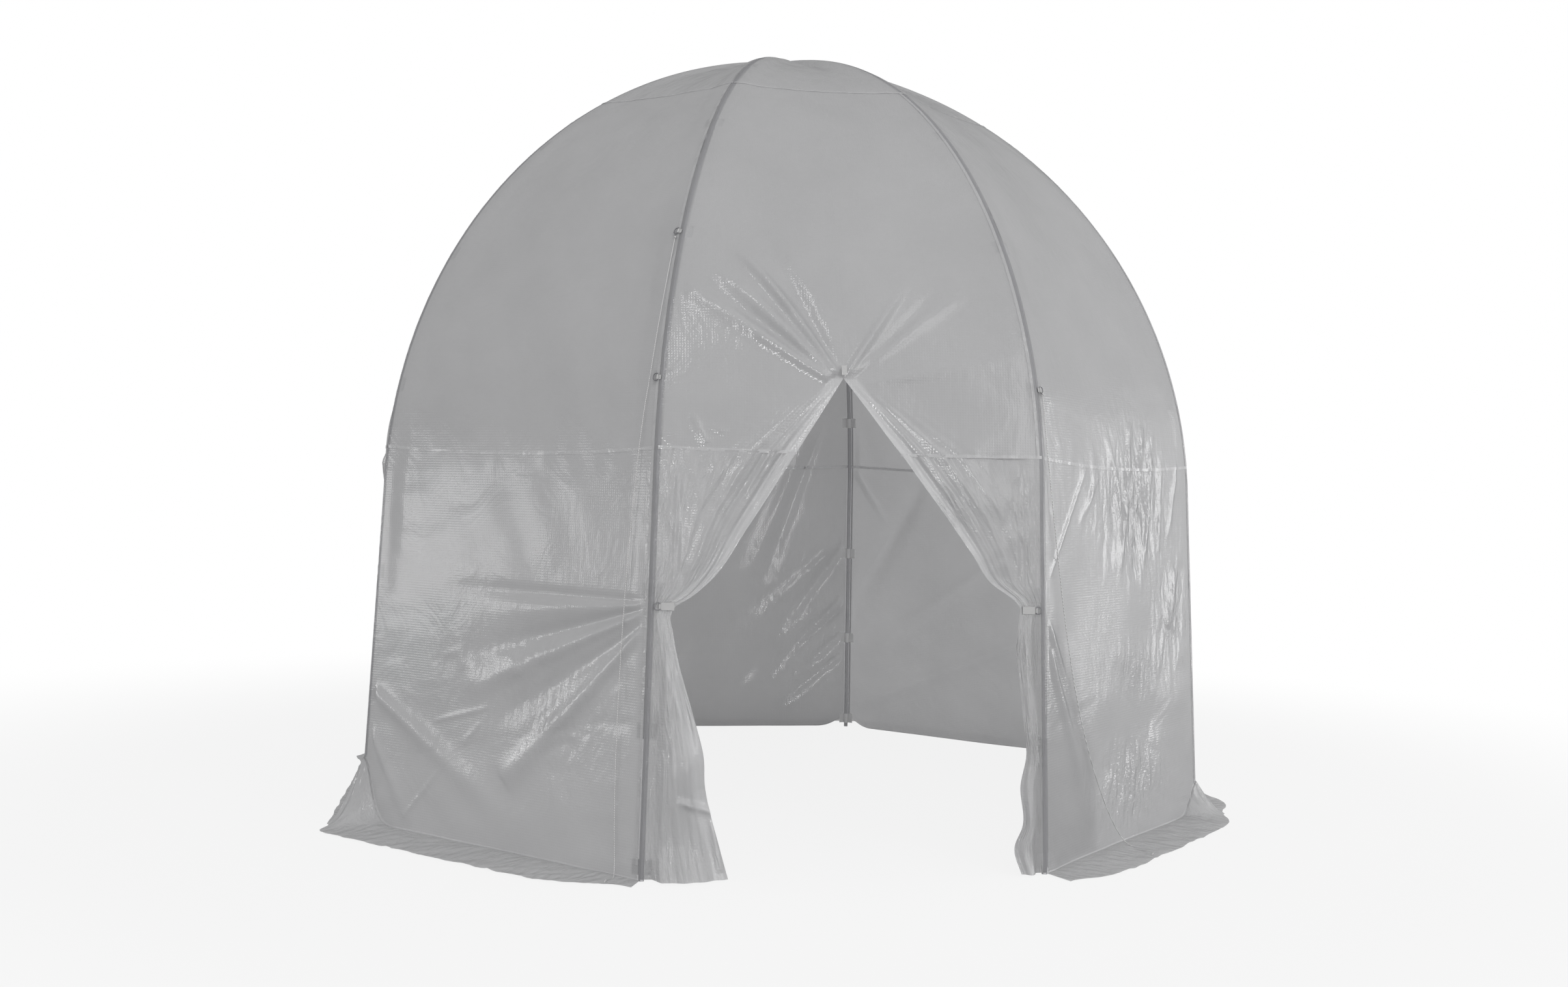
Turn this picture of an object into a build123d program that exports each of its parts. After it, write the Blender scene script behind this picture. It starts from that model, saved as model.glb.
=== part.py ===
from build123d import *

import os
from math import acos, asin, atan, cos, degrees, radians, sin, tan

# Walk-in dome greenhouse. Eight bent tubes stand on an octagon and meet in a hub, and a
# film cover with flat sides hangs outside them. The front panel is slit for the door.
# The frame: +Z up, the origin on the ground in the middle of the octagon, the door to -Y.

# Poles: a straight leg, then one even bend that ends almost level at the hub
foot_radius = 1775.0
leg_top_radius = 1710.0
leg_top_height = 1310.0
bend_radius = 1887.0
tube_diameter = 19.0
tube_wall = 1.2
joint_height = 1180.0
joint_length = 60.0
joint_clearance = 0.3
joint_gap = 0.3

# Hub: a flat boss with eight pegs that the tubes are pushed over
hub_radius = 45.0
hub_thickness = 26.0
hub_edge = 3.0
hub_drop = 1.0
peg_length = 62.0
peg_clearance = 0.5
hub_gap = 1.6

# Cover: film that is carried 0.4 mm outside the tubes
film_thickness = 3.0
film_clearance = 0.4
seam_gap = 0.3
seam_height = 1400.0
crown_height = 2800.0
skirt_width = 200.0

# Door: a slit in the front panel, drawn aside to both front poles
slit_apex_height = 1655.0
slit_apex_shift = -30.0
slit_spread = 0.72
flap_knee_height = 956.0
flap_knee_edge = 504.0
flap_knee_bend = 150.0
tie_height = 885.0
tie_edge = 592.0
left_flap_foot = -400.0
right_flap_foot = 580.0

# Webbing loops that hold the cover to the poles
strap_heights = (45.0, 480.0, 934.0, 1631.0, 2138.0, 2587.0, 2920.0)
strap_height = 50.0
strap_thickness = 1.8
strap_clearance = 0.3
strap_tail = 34.0
strap_opening = 40.0
strap_overlap = 1.0

# Rings for the guy cords, each on a loop of narrow webbing beside a front pole
ring_wire = 3.2
ring_bar = 24.0
ring_reach = 17.0
ring_inset = 16.0
ring_loop_width = 15.0
ring_loop_thickness = 1.4
ring_corner = 10.0
ring_split = 0.4
ring_clearance = 0.3

# Door ties: a band round the gathered flap with a ring on its outer leg
tie_band_height = 26.0
tie_band_thickness = 1.6
tie_band_clearance = 0.4
tie_leg = 46.0
tie_eye_gap = 4.8
tie_eye_tail = 6.4

# Patch of doubled webbing that closes the top of the slit
patch_width = 18.0
patch_height = 34.0
patch_thickness = 1.5
patch_rise = 20.0

# Guy cords: slack, from a ring down the cover to the skirt. Each route is hand-placed.
cord_diameter = 3.0
cord_arc_share = 0.45
left_cord_route = (
    (-593, -1369, 2121), (-605, -1396, 2062), (-622, -1431, 1976), (-641, -1466, 1875),
    (-660, -1495, 1765), (-677, -1518, 1650), (-697, -1531, 1525), (-712, -1539, 1392),
    (-724, -1538, 1244), (-735, -1538, 1103), (-744, -1539, 960), (-751, -1540, 818),
    (-756, -1542, 700), (-760, -1545, 590), (-763, -1548, 480), (-765, -1552, 365),
    (-766, -1560, 250), (-765, -1567, 150), (-763, -1575, 70), (-763, -1587, 20),
    (-766, -1612, 5.5), (-777, -1640, 5), (-796, -1662, 5),
)
right_cord_route = (
    (664, -1545, 1620), (667, -1554, 1570), (671, -1563, 1507), (677, -1568, 1440),
    (686, -1569, 1368), (697, -1565, 1290), (710, -1558, 1205), (727, -1547, 1105),
    (747, -1535, 990), (767, -1522, 880), (790, -1507, 770), (817, -1487, 655),
    (850, -1461, 540), (888, -1430, 430), (931, -1393, 325), (979, -1351, 226),
    (1030, -1305, 137), (1078, -1264, 66), (1112, -1266, 18), (1132, -1300, 6),
    (1141, -1345, 5), (1143, -1385, 5), (1156, -1416, 5),
)

side_angle = 360.0 / 8
half_angle = side_angle / 2
squash = cos(radians(half_angle))
tube_radius = tube_diameter / 2
tube_bore = tube_radius - tube_wall
film_inside = tube_radius + film_clearance
film_outside = film_inside + film_thickness

leg_lean = degrees(atan((foot_radius - leg_top_radius) / leg_top_height))
bend_center_radius = leg_top_radius - bend_radius * cos(radians(leg_lean))
bend_center_height = leg_top_height - bend_radius * sin(radians(leg_lean))

pole_angles = {
    "front_left": -90 - half_angle,
    "front_right": -90 + half_angle,
    "right_front": -half_angle,
    "right_back": half_angle,
    "back_right": 90 - half_angle,
    "back_left": 90 + half_angle,
    "left_back": 180 - half_angle,
    "left_front": 180 + half_angle,
}
panel_angles = {
    "front": -90.0,
    "front_right": -45.0,
    "right": 0.0,
    "back_right": 45.0,
    "back": 90.0,
    "back_left": 135.0,
    "left": 180.0,
    "front_left": -135.0,
}


def pole_lean(height):
    """Lean of a pole from the vertical at a height, in degrees."""
    if height <= leg_top_height:
        return leg_lean
    return degrees(asin((height - bend_center_height) / bend_radius))


def pole_radius(height):
    """Distance of a pole's axis from the middle of the greenhouse at a height."""
    if height <= leg_top_height:
        return foot_radius - height * tan(radians(leg_lean))
    return bend_center_radius + bend_radius * cos(radians(pole_lean(height)))


def bend_point(lean):
    """Point of the bend's axis where the pole leans by an angle: radius, height."""
    return (
        bend_center_radius + bend_radius * cos(radians(lean)),
        bend_center_height + bend_radius * sin(radians(lean)),
    )


def panel_point(lean, offset):
    """Point of a flat side, an offset outside the poles: distance from the axis, height."""
    return (
        bend_center_radius * squash + (bend_radius * squash + offset) * cos(radians(lean)),
        bend_center_height + (bend_radius + offset) * sin(radians(lean)),
    )


def panel_arc(low_lean, high_lean, offset):
    """The curve of a flat side between two leans of the poles."""
    return EllipticalCenterArc(
        (bend_center_radius * squash, bend_center_height),
        bend_radius * squash + offset,
        bend_radius + offset,
        start_angle=low_lean,
        arc_size=high_lean - low_lean,
    )


def panel_foot(offset, height):
    """Distance from the axis of the straight part of a flat side at a height."""
    top, top_height = panel_point(leg_lean, offset)
    return top + (top_height - height) * tan(radians(leg_lean)) * squash


def panel_slope(height):
    """Lean of a flat side from the vertical at a height, in degrees."""
    return degrees(atan(tan(radians(pole_lean(height))) * squash))


def trim_to_side(part):
    """Cut a side facing +X along the two radial planes through its poles."""
    for turn in (1, -1):
        normal = Vector(-sin(radians(half_angle)), turn * cos(radians(half_angle)), 0)
        edge = Plane(origin=normal * (-seam_gap / 2), z_dir=normal)
        part = split(part, bisect_by=edge, keep=Keep.BOTTOM)
    return part


# Poles: two tubes, the leg's narrowed end pushed up into the bent tube
joint_radius = pole_radius(joint_height)
spigot_radius = tube_bore - joint_clearance
up_the_leg = Vector(-sin(radians(leg_lean)), 0, cos(radians(leg_lean)))
joint_point = Vector(joint_radius, 0, joint_height)
hub_end_lean = degrees(acos((hub_radius + hub_gap - bend_center_radius) / bend_radius))
pole_end = bend_point(hub_end_lean)

with BuildPart() as leg:
    below_ground = joint_point - up_the_leg * (joint_height + tube_diameter)
    with BuildSketch(Plane(origin=below_ground, z_dir=up_the_leg)):
        Circle(tube_radius)
        Circle(tube_bore, mode=Mode.SUBTRACT)
    extrude(amount=joint_height + tube_diameter - joint_gap)
    split(bisect_by=Plane.XY, keep=Keep.TOP)
    with BuildSketch(Plane(origin=joint_point - up_the_leg * joint_length / 2, z_dir=up_the_leg)):
        Circle(spigot_radius)
        Circle(spigot_radius - tube_wall, mode=Mode.SUBTRACT)
    extrude(amount=joint_length * 3 / 2)
    with BuildSketch(Plane(origin=joint_point - up_the_leg * joint_length / 2, z_dir=up_the_leg)):
        Circle(tube_bore)
        Circle(spigot_radius - tube_wall, mode=Mode.SUBTRACT)
    extrude(amount=joint_length / 2 - joint_gap)

with BuildPart() as rib:
    with BuildLine(Plane.XZ) as rib_path:
        Line((joint_radius, joint_height), (leg_top_radius, leg_top_height))
        ThreePointArc(
            (leg_top_radius, leg_top_height),
            bend_point((leg_lean + hub_end_lean) / 2),
            pole_end,
        )
    with BuildSketch(Plane(origin=joint_point, z_dir=up_the_leg)):
        Circle(tube_radius)
        Circle(tube_bore, mode=Mode.SUBTRACT)
    sweep(path=rib_path.wire())

poles = {}
for place, angle in pole_angles.items():
    with BuildPart() as pole:
        add(leg.part, rotation=(0, 0, angle))
        add(rib.part, rotation=(0, 0, angle))
    poles["pole_" + place] = pole.part

# Hub: each peg lies along the chord of the tube's last stretch
peg_start = bend_point(hub_end_lean - degrees(peg_length / bend_radius))
peg_run = Vector(pole_end[0] - peg_start[0], 0, pole_end[1] - peg_start[1])
hub_top = pole_end[1] + tube_radius - hub_drop

with BuildPart() as peg:
    with BuildSketch(Plane(origin=(peg_start[0], 0, peg_start[1]), z_dir=peg_run)):
        Circle(tube_bore - peg_clearance)
    extrude(amount=peg_run.length + hub_radius / 2)

with BuildPart() as hub:
    with BuildSketch(Plane.XY.offset(hub_top - hub_thickness)):
        Circle(hub_radius)
    extrude(amount=hub_thickness)
    chamfer(hub.edges().filter_by(GeomType.CIRCLE), hub_edge)
    for angle in pole_angles.values():
        add(peg.part, rotation=(0, 0, angle))

# Cover: each wall folds outward at the ground into the skirt
seam_lean = pole_lean(seam_height)
crown_lean = pole_lean(crown_height)
lean_of_gap = degrees(seam_gap / bend_radius)
panel_reach = foot_radius * tan(radians(half_angle)) + skirt_width



def side_wall(skirt):
    """A wall that faces +X from the ground to its seam, with a skirt of some width."""
    foot = panel_foot(film_inside, 0)
    turn_in = panel_foot(film_outside, film_thickness)
    with BuildPart() as wall:
        with BuildSketch(Plane.XZ):
            with BuildLine():
                inner = panel_arc(leg_lean, seam_lean - lean_of_gap, film_inside)
                outer = panel_arc(leg_lean, seam_lean - lean_of_gap, film_outside)
                Line(inner @ 1, outer @ 1)
                Polyline(
                    inner @ 0,
                    (foot, 0),
                    (max(foot + skirt, turn_in), 0),
                    (max(foot + skirt, turn_in), film_thickness),
                )
                if foot + skirt > turn_in:
                    Line((foot + skirt, film_thickness), (turn_in, film_thickness))
                Line((turn_in, film_thickness), outer @ 0)
            make_face()
        extrude(amount=panel_reach, both=True)
    return wall.part


def roof_side(low_lean, high_lean):
    """A roof gore that faces +X between two leans; each film face may end at its own lean."""
    with BuildPart() as gore:
        with BuildSketch(Plane.XZ):
            with BuildLine():
                inner = panel_arc(low_lean, high_lean(film_inside), film_inside)
                outer = panel_arc(low_lean, high_lean(film_outside), film_outside)
                Line(inner @ 0, outer @ 0)
                Line(inner @ 1, outer @ 1)
            make_face()
        extrude(amount=panel_reach, both=True)
    return gore.part


def crown_end_lean(offset):
    """Lean at which a flat side, an offset outside the poles, reaches the axis."""
    return degrees(acos(-bend_center_radius * squash / (bend_radius * squash + offset)))


wall_side = trim_to_side(side_wall(skirt_width))
front_side = trim_to_side(side_wall(0))
roof_gore = trim_to_side(roof_side(seam_lean, lambda offset: crown_lean - lean_of_gap))
crown_gore = trim_to_side(roof_side(crown_lean, crown_end_lean))

slit_depth = (slit_apex_height - seam_height) * 2
covers = {}
for place, angle in panel_angles.items():
    with BuildPart() as roof_panel:
        add(roof_gore, rotation=(0, 0, angle))
        if place == "front":
            with BuildSketch(Plane.XZ.offset(foot_radius)):
                Polygon(
                    (slit_apex_shift, slit_apex_height),
                    (slit_apex_shift - slit_spread * slit_depth, slit_apex_height - slit_depth),
                    (slit_apex_shift + slit_spread * slit_depth, slit_apex_height - slit_depth),
                    align=None,
                )
            extrude(amount=-foot_radius / 2, mode=Mode.SUBTRACT)
    covers["roof_panel_" + place] = roof_panel.part
    if place != "front":
        with BuildPart() as wall_panel:
            add(wall_side, rotation=(0, 0, angle))
        covers["wall_panel_" + place] = wall_panel.part

with BuildPart() as crown:
    for angle in panel_angles.values():
        add(crown_gore, rotation=(0, 0, angle))
covers["crown_panel"] = crown.part

# Door flaps: what is left of the front wall at each side of the slit
flap_sides = {"left": (-1, left_flap_foot), "right": (1, right_flap_foot)}
slit_at_seam = (slit_apex_height - seam_height) * slit_spread
for place, (turn, foot_edge) in flap_sides.items():
    with BuildPart() as flap:
        add(front_side, rotation=(0, 0, -90))
        with BuildSketch(Plane.XZ.offset(foot_radius / 2)):
            with BuildLine():
                pole_side = turn * foot_radius
                upper = FilletPolyline(
                    (slit_apex_shift + turn * slit_at_seam, seam_height),
                    (turn * flap_knee_edge, flap_knee_height),
                    (turn * tie_edge, tie_height + tie_band_height / 2),
                    radius=flap_knee_bend,
                )
                neck = Line(upper @ 1, (turn * tie_edge, tie_height - tie_band_height / 2))
                lower = Spline(
                    neck @ 1,
                    ((turn * tie_edge + foot_edge) / 2, tie_height / 2),
                    (foot_edge, 0),
                )
                Polyline(
                    lower @ 1,
                    (foot_edge, -1),
                    (pole_side, -1),
                    (pole_side, seam_height + 1),
                    (slit_apex_shift + turn * slit_at_seam, seam_height + 1),
                    upper @ 0,
                )
            make_face()
        extrude(amount=foot_radius, mode=Mode.INTERSECT)
    covers["door_flap_" + place] = flap.part

# Straps: webbing round the inner side of the pole, its ends sewn flat to both panels
strap_inside = tube_radius + strap_clearance
tail_outside = film_inside - strap_clearance - film_clearance / 2

with BuildPart() as strap_set:
    for height in strap_heights:
        lean = pole_lean(height)
        panel_turn = degrees(atan(tan(radians(half_angle)) * cos(radians(lean))))
        outward = Vector(cos(radians(lean)), 0, sin(radians(lean)))
        along = Vector(-sin(radians(lean)), 0, cos(radians(lean)))
        across = Plane(origin=(pole_radius(height), 0, height), x_dir=outward, z_dir=along)
        with BuildSketch(across):
            Circle(strap_inside + strap_thickness)
            Circle(strap_inside, mode=Mode.SUBTRACT)
            open_half = radians(panel_turn + strap_opening)
            mouth = 2 * strap_inside
            Polygon(
                (0, 0),
                (mouth * cos(open_half), mouth * sin(open_half)),
                (3 * mouth, mouth),
                (3 * mouth, -mouth),
                (mouth * cos(open_half), -mouth * sin(open_half)),
                align=None,
                mode=Mode.SUBTRACT,
            )
            tail_start_y = (strap_inside + strap_thickness) * sin(radians(strap_opening))
            tail_start_y -= strap_overlap
            for turn in (1, -1):
                with Locations(Location((0, 0), turn * panel_turn)):
                    with Locations((tail_outside - strap_thickness / 2,
                                    turn * (tail_start_y + strap_tail) / 2)):
                        Rectangle(strap_thickness, strap_tail - tail_start_y)
        extrude(amount=strap_height / 2, both=True)

straps = {}
for place, angle in pole_angles.items():
    with BuildPart() as pole_straps:
        add(strap_set.part, rotation=(0, 0, angle))
    straps["straps_" + place] = pole_straps.part

# Guy rings: a D-ring whose straight bar turns in a loop of webbing sewn to the side panel
ring_stand = ring_wire / 2 + ring_loop_thickness + 2 * ring_clearance


def side_plane(height, offset):
    """Plane on a side that faces +X: x along the side, z outward, y up the slope."""
    middle, level = panel_point(pole_lean(height), offset)
    if height <= leg_top_height:
        middle, level = panel_foot(offset, height), height
    slope = radians(panel_slope(height))
    return Plane(origin=(middle, 0, level), x_dir=(0, 1, 0), z_dir=(cos(slope), 0, sin(slope)))


def d_ring(height, edge, turn, angle):
    """A bent wire D-ring on the side at an angle: its split bar at an edge, its bow to one turn."""
    ring_plane = side_plane(height, film_outside + ring_stand)
    half_bar = ring_bar / 2
    far = edge + turn * ring_reach
    with BuildPart() as ring:
        with BuildLine(ring_plane):
            path = FilletPolyline(
                (edge, ring_split / 2),
                (edge, half_bar),
                (far, half_bar),
                (far, -half_bar),
                (edge, -half_bar),
                (edge, -ring_split / 2),
                radius=[ring_wire, ring_corner, ring_corner, ring_wire],
            )
        with BuildSketch(Plane(origin=path @ 0, z_dir=path % 0)):
            Circle(ring_wire / 2)
        sweep(path=path)
    return ring.part.rotate(Axis.Z, angle)


def ring_loop(height, edge, turn, tail, angle):
    """The loop of webbing round a ring's bar, with a tail of some length sewn to the film."""
    surface = side_plane(height, film_outside)
    cut = Plane(origin=surface.origin, x_dir=surface.x_dir, z_dir=surface.y_dir)
    eye = ring_wire / 2 + ring_clearance
    with BuildPart() as loop:
        with BuildSketch(cut):
            with Locations((edge, -ring_stand)):
                Circle(eye + ring_loop_thickness)
            with Locations((edge + turn * tail / 2, -ring_clearance - ring_loop_thickness / 2)):
                Rectangle(tail, ring_loop_thickness)
            with Locations((edge, -ring_stand)):
                Circle(eye, mode=Mode.SUBTRACT)
        extrude(amount=ring_loop_width / 2, both=True)
    return loop.part.rotate(Axis.Z, angle)


ring_places = (
    ("left_lower", 1, -135.0, strap_heights[3]),
    ("left_upper", 1, -135.0, strap_heights[4]),
    ("right_lower", -1, -45.0, strap_heights[3]),
)
guy_rings = []
guy_loops = []
for place, turn, angle, height in ring_places:
    corner = panel_point(pole_lean(height), film_outside)[0] * tan(radians(half_angle))
    bar = turn * (corner - ring_inset)
    guy_rings.append(d_ring(height, bar, -turn, angle))
    guy_loops.append(ring_loop(height, bar, turn, ring_inset - ring_wire, angle))

with BuildPart() as ring_set:
    for ring in guy_rings:
        add(ring)
with BuildPart() as loop_set:
    for loop in guy_loops:
        add(loop)

fittings = {"guy_rings": ring_set.part, "guy_ring_loops": loop_set.part}

# Door ties
for place, turn in (("left", -1), ("right", 1)):
    inside = side_plane(tie_height, film_inside)
    cut = Plane(origin=inside.origin, x_dir=inside.x_dir, z_dir=inside.y_dir)
    inner_reach = tie_band_clearance
    outer_reach = tie_band_clearance + tie_band_thickness
    bar = turn * (tie_edge + tie_leg)
    leg_end = bar - turn * tie_eye_gap
    with BuildPart() as band:
        with BuildSketch(cut):
            Polygon(
                (turn * (tie_edge - outer_reach), outer_reach),
                (turn * (tie_edge - outer_reach), -film_thickness - outer_reach),
                (leg_end, -film_thickness - outer_reach),
                (leg_end, outer_reach),
                align=None,
            )
            Polygon(
                (turn * (tie_edge - inner_reach), inner_reach),
                (turn * (tie_edge - inner_reach), -film_thickness - inner_reach),
                (bar, -film_thickness - inner_reach),
                (bar, inner_reach),
                align=None,
                mode=Mode.SUBTRACT,
            )
        extrude(amount=tie_band_height / 2, both=True)
        add(ring_loop(tie_height, bar, -turn, tie_eye_tail, 0))
    fittings["tie_band_" + place] = band.part.rotate(Axis.Z, -90)
    fittings["tie_ring_" + place] = d_ring(tie_height, bar, turn, -90)

# Patch at the top of the slit
with BuildPart() as patch:
    patch_plane = side_plane(slit_apex_height + patch_rise, film_outside + seam_gap)
    with BuildSketch(patch_plane):
        with Locations((slit_apex_shift, 0)):
            Rectangle(patch_width, patch_height)
    extrude(amount=patch_thickness)
fittings["slit_patch"] = patch.part.rotate(Axis.Z, -90)


def cord_tube(route):
    """Straight runs joined by arcs, each arc as large as its two runs allow."""
    points = [Vector(*point) for point in route]
    radii = []
    for before, corner, after in zip(points, points[1:], points[2:]):
        half_turn = radians((corner - before).get_angle(after - corner)) / 2
        shorter = min((corner - before).length, (after - corner).length)
        radii.append(cord_arc_share * shorter / tan(half_turn))
    print("cord radii", [round(radius) for radius in radii])
    with BuildPart() as cord:
        with BuildLine():
            path = FilletPolyline(*points, radius=radii)
        with BuildSketch(Plane(origin=path @ 0, z_dir=path % 0)):
            Circle(cord_diameter / 2)
        sweep()
    print("cord length", round(path.length), "mm, solid", round(cord.part.volume), "mm3")
    return cord.part


fittings["guy_cord_left"] = cord_tube(left_cord_route)
fittings["guy_cord_right"] = cord_tube(right_cord_route)

os.makedirs("parts", exist_ok=True)
for name, part in {**poles, "hub": hub.part, **covers, **straps, **fittings}.items():
    part.label = name
    export_step(part, "parts/" + name + ".step")
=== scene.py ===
import bmesh
import bpy
import numpy as np
from math import cos, pi, radians, sin, tan
from mathutils import Matrix, Vector


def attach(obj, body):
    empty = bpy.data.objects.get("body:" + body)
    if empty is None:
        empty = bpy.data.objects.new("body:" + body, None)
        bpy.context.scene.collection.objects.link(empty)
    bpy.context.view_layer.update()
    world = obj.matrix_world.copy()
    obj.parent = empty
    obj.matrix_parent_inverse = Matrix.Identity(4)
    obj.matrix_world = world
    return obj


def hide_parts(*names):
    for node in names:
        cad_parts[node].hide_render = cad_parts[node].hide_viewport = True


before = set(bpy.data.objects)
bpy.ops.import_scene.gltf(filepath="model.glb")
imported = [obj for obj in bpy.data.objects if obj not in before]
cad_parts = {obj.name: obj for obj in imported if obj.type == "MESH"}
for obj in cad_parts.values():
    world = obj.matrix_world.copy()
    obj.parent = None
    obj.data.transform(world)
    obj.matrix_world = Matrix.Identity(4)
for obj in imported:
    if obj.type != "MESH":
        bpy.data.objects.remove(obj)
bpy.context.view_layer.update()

# Poles: eight bent steel tubes, powder coated light grey, 19 mm across. Each is a straight leg whose
# narrowed end is pushed up into the bent tube. The tubes stay as the frame has them and get a finish.
TUBE_GREYS = ("A8A8AA", "BEBEC0")
COAT_GRAIN = 0.0012
SCUFF_SIZE = 0.09


def linear(hex_colour):
    """The linear colour, with alpha 1, of an sRGB hex value."""
    levels = np.array([int(hex_colour[i:i + 2], 16) / 255 for i in (0, 2, 4)])
    low = levels / 12.92
    high = ((levels + 0.055) / 1.055) ** 2.4
    return (*np.where(levels <= 0.04045, low, high).tolist(), 1.0)


def new_material(name):
    """An empty node material."""
    material = bpy.data.materials.new(name)
    material.use_nodes = True
    material.node_tree.nodes.clear()
    return material


def add_node(material, kind, sockets=None, **settings):
    """Adds a shader node. Sockets are its inputs by name or number: plain values, linked outputs, or
    nodes, of which the first output in use is linked."""
    tree = material.node_tree
    node = tree.nodes.new("ShaderNode" + kind)
    for name, value in settings.items():
        setattr(node, name, value)
    for name, value in (sockets or {}).items():
        if isinstance(value, bpy.types.Node):
            value = next(socket for socket in value.outputs if socket.enabled)
        if isinstance(value, bpy.types.NodeSocket):
            tree.links.new(value, node.inputs[name])
        else:
            node.inputs[name].default_value = value
    return node


def dress_nodes(material, *names):
    """Gives CAD nodes their finish."""
    for name in names:
        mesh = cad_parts[name].data
        mesh.materials.clear()
        mesh.materials.append(material)


# Powder-coated steel: a soft satin with a fine orange-peel grain and faint scuffs
coated_steel = new_material("Powder-coated steel")
place = add_node(coated_steel, "TexCoord").outputs["Object"]
grain = add_node(coated_steel, "TexNoise", {"Vector": place, "Scale": 1 / COAT_GRAIN, "Detail": 2.0})
scuff = add_node(coated_steel, "TexNoise", {"Vector": place, "Scale": 1 / SCUFF_SIZE, "Detail": 5.0})
coat_colour = add_node(coated_steel, "ValToRGB", {"Fac": scuff})
for end, grey in zip(coat_colour.color_ramp.elements, TUBE_GREYS):
    end.color = linear(grey)
coat_rough = add_node(coated_steel, "MapRange", {"Value": scuff, "To Min": 0.32, "To Max": 0.5})
coat_bump = add_node(coated_steel, "Bump", {"Height": grain, "Strength": 0.25, "Distance": 0.0004})
coat = add_node(coated_steel, "BsdfPrincipled",
                {"Base Color": coat_colour, "Roughness": coat_rough, "Normal": coat_bump})
add_node(coated_steel, "OutputMaterial", {"Surface": coat})
pole_names = [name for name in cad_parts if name.startswith("pole_")]
dress_nodes(coated_steel, *pole_names)

# Hub: a moulded plastic boss with eight pegs that the tubes are pushed over. Black polypropylene,
# with the fine spark-eroded grain of such mouldings.
MOULD_GRAIN = 0.0006
moulded_plastic = new_material("Moulded polypropylene")
place = add_node(moulded_plastic, "TexCoord").outputs["Object"]
grain = add_node(moulded_plastic, "TexNoise", {"Vector": place, "Scale": 1 / MOULD_GRAIN, "Detail": 3.0})
mould_bump = add_node(moulded_plastic, "Bump", {"Height": grain, "Strength": 0.2, "Distance": 0.0003})
plastic = add_node(moulded_plastic, "BsdfPrincipled",
                   {"Base Color": linear("3A3A3B"), "Roughness": 0.5, "Normal": mould_bump})
add_node(moulded_plastic, "OutputMaterial", {"Surface": plastic})
dress_nodes(moulded_plastic, "hub")

# Cover: reinforced polyethylene film, a woven grid between two clear skins. Eight gores are cut flat,
# welded along the poles and across at breast height, and pulled over the tubes, so each side is
# flat from pole to pole, with creases that run out from wherever it is held.
HALF_ANGLE = pi / 8
SQUASH = cos(HALF_ANGLE)
FOOT_RADIUS = 1.775
LEG_TOP_RADIUS = 1.710
LEG_TOP_HEIGHT = 1.310
BEND_RADIUS = 1.887
FILM_OFFSET = 0.0108
SEAM_HEIGHT = 1.400
CROWN_HEIGHT = 2.800
CORNER_WIDTH = 0.007
CORNER_DROP = 0.0014
LEG_LEAN = np.arctan((FOOT_RADIUS - LEG_TOP_RADIUS) / LEG_TOP_HEIGHT)
LEG_LENGTH = np.hypot(FOOT_RADIUS - LEG_TOP_RADIUS, LEG_TOP_HEIGHT)
BEND_CENTRE_RADIUS = LEG_TOP_RADIUS - BEND_RADIUS * np.cos(LEG_LEAN)
BEND_CENTRE_HEIGHT = LEG_TOP_HEIGHT - BEND_RADIUS * np.sin(LEG_LEAN)
SIDE_ANGLES = {
    "front": -90, "front_right": -45, "right": 0, "back_right": 45,
    "back": 90, "back_left": 135, "left": 180, "front_left": -135,
}


def length_at(height):
    """Length along a pole from the ground to a height: the straight leg, then the arc."""
    on_arc = np.arcsin(np.clip((height - BEND_CENTRE_HEIGHT) / BEND_RADIUS, -1, 1))
    return np.where(height < LEG_TOP_HEIGHT, height / np.cos(LEG_LEAN),
                    LEG_LENGTH + BEND_RADIUS * (on_arc - LEG_LEAN))


def side_profile(length):
    """Mid-line of a flat side at a length along the poles: distance from the axis, height and lean."""
    lean = LEG_LEAN + np.maximum(length - LEG_LENGTH, 0) / BEND_RADIUS
    on_leg = length < LEG_LENGTH
    radius = np.where(on_leg, FOOT_RADIUS - length * np.sin(LEG_LEAN),
                      BEND_CENTRE_RADIUS + BEND_RADIUS * np.cos(lean))
    height = np.where(on_leg, length * np.cos(LEG_LEAN),
                      BEND_CENTRE_HEIGHT + BEND_RADIUS * np.sin(lean))
    return radius * SQUASH + FILM_OFFSET * np.cos(lean), height + FILM_OFFSET * np.sin(lean), lean


def turned_out(angle, distance, across, height):
    """Points at a distance from the axis in the direction of a side, and across to its right."""
    out = radians(angle)
    return np.stack([distance * cos(out) - across * sin(out), distance * sin(out) + across * cos(out),
                     height + 0 * across], axis=-1)


def side_point(angle, across, length, lift=0.0):
    """Points on a side: across is metres to the right of its middle as seen from outside, length is
    measured up the poles, and lift is metres off the flat chord surface, along its normal."""
    distance, height, lean = side_profile(length)
    return turned_out(angle, distance + lift * np.cos(lean), across, height + lift * np.sin(lean))


def half_width(length):
    """Half the width of a side at a length up the poles, to the radial plane through the pole."""
    return side_profile(length)[0] * tan(HALF_ANGLE)


def spread(count, edge=3.0):
    """Numbers from -1 to 1 with steps that are finer at both ends: a straight line bent by a tanh."""
    steps = np.linspace(-1, 1, count)
    return np.tanh(edge * steps * 0.45) / np.tanh(edge * 0.45)


def flat_place(across, length):
    """Places on the flat film, in metres."""
    return np.stack(np.broadcast_arrays(across, length), axis=-1)


def add_object(name, data):
    """A new object at the origin that is part of the scene."""
    piece = bpy.data.objects.new(name, data)
    bpy.context.scene.collection.objects.link(piece)
    return piece


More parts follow.
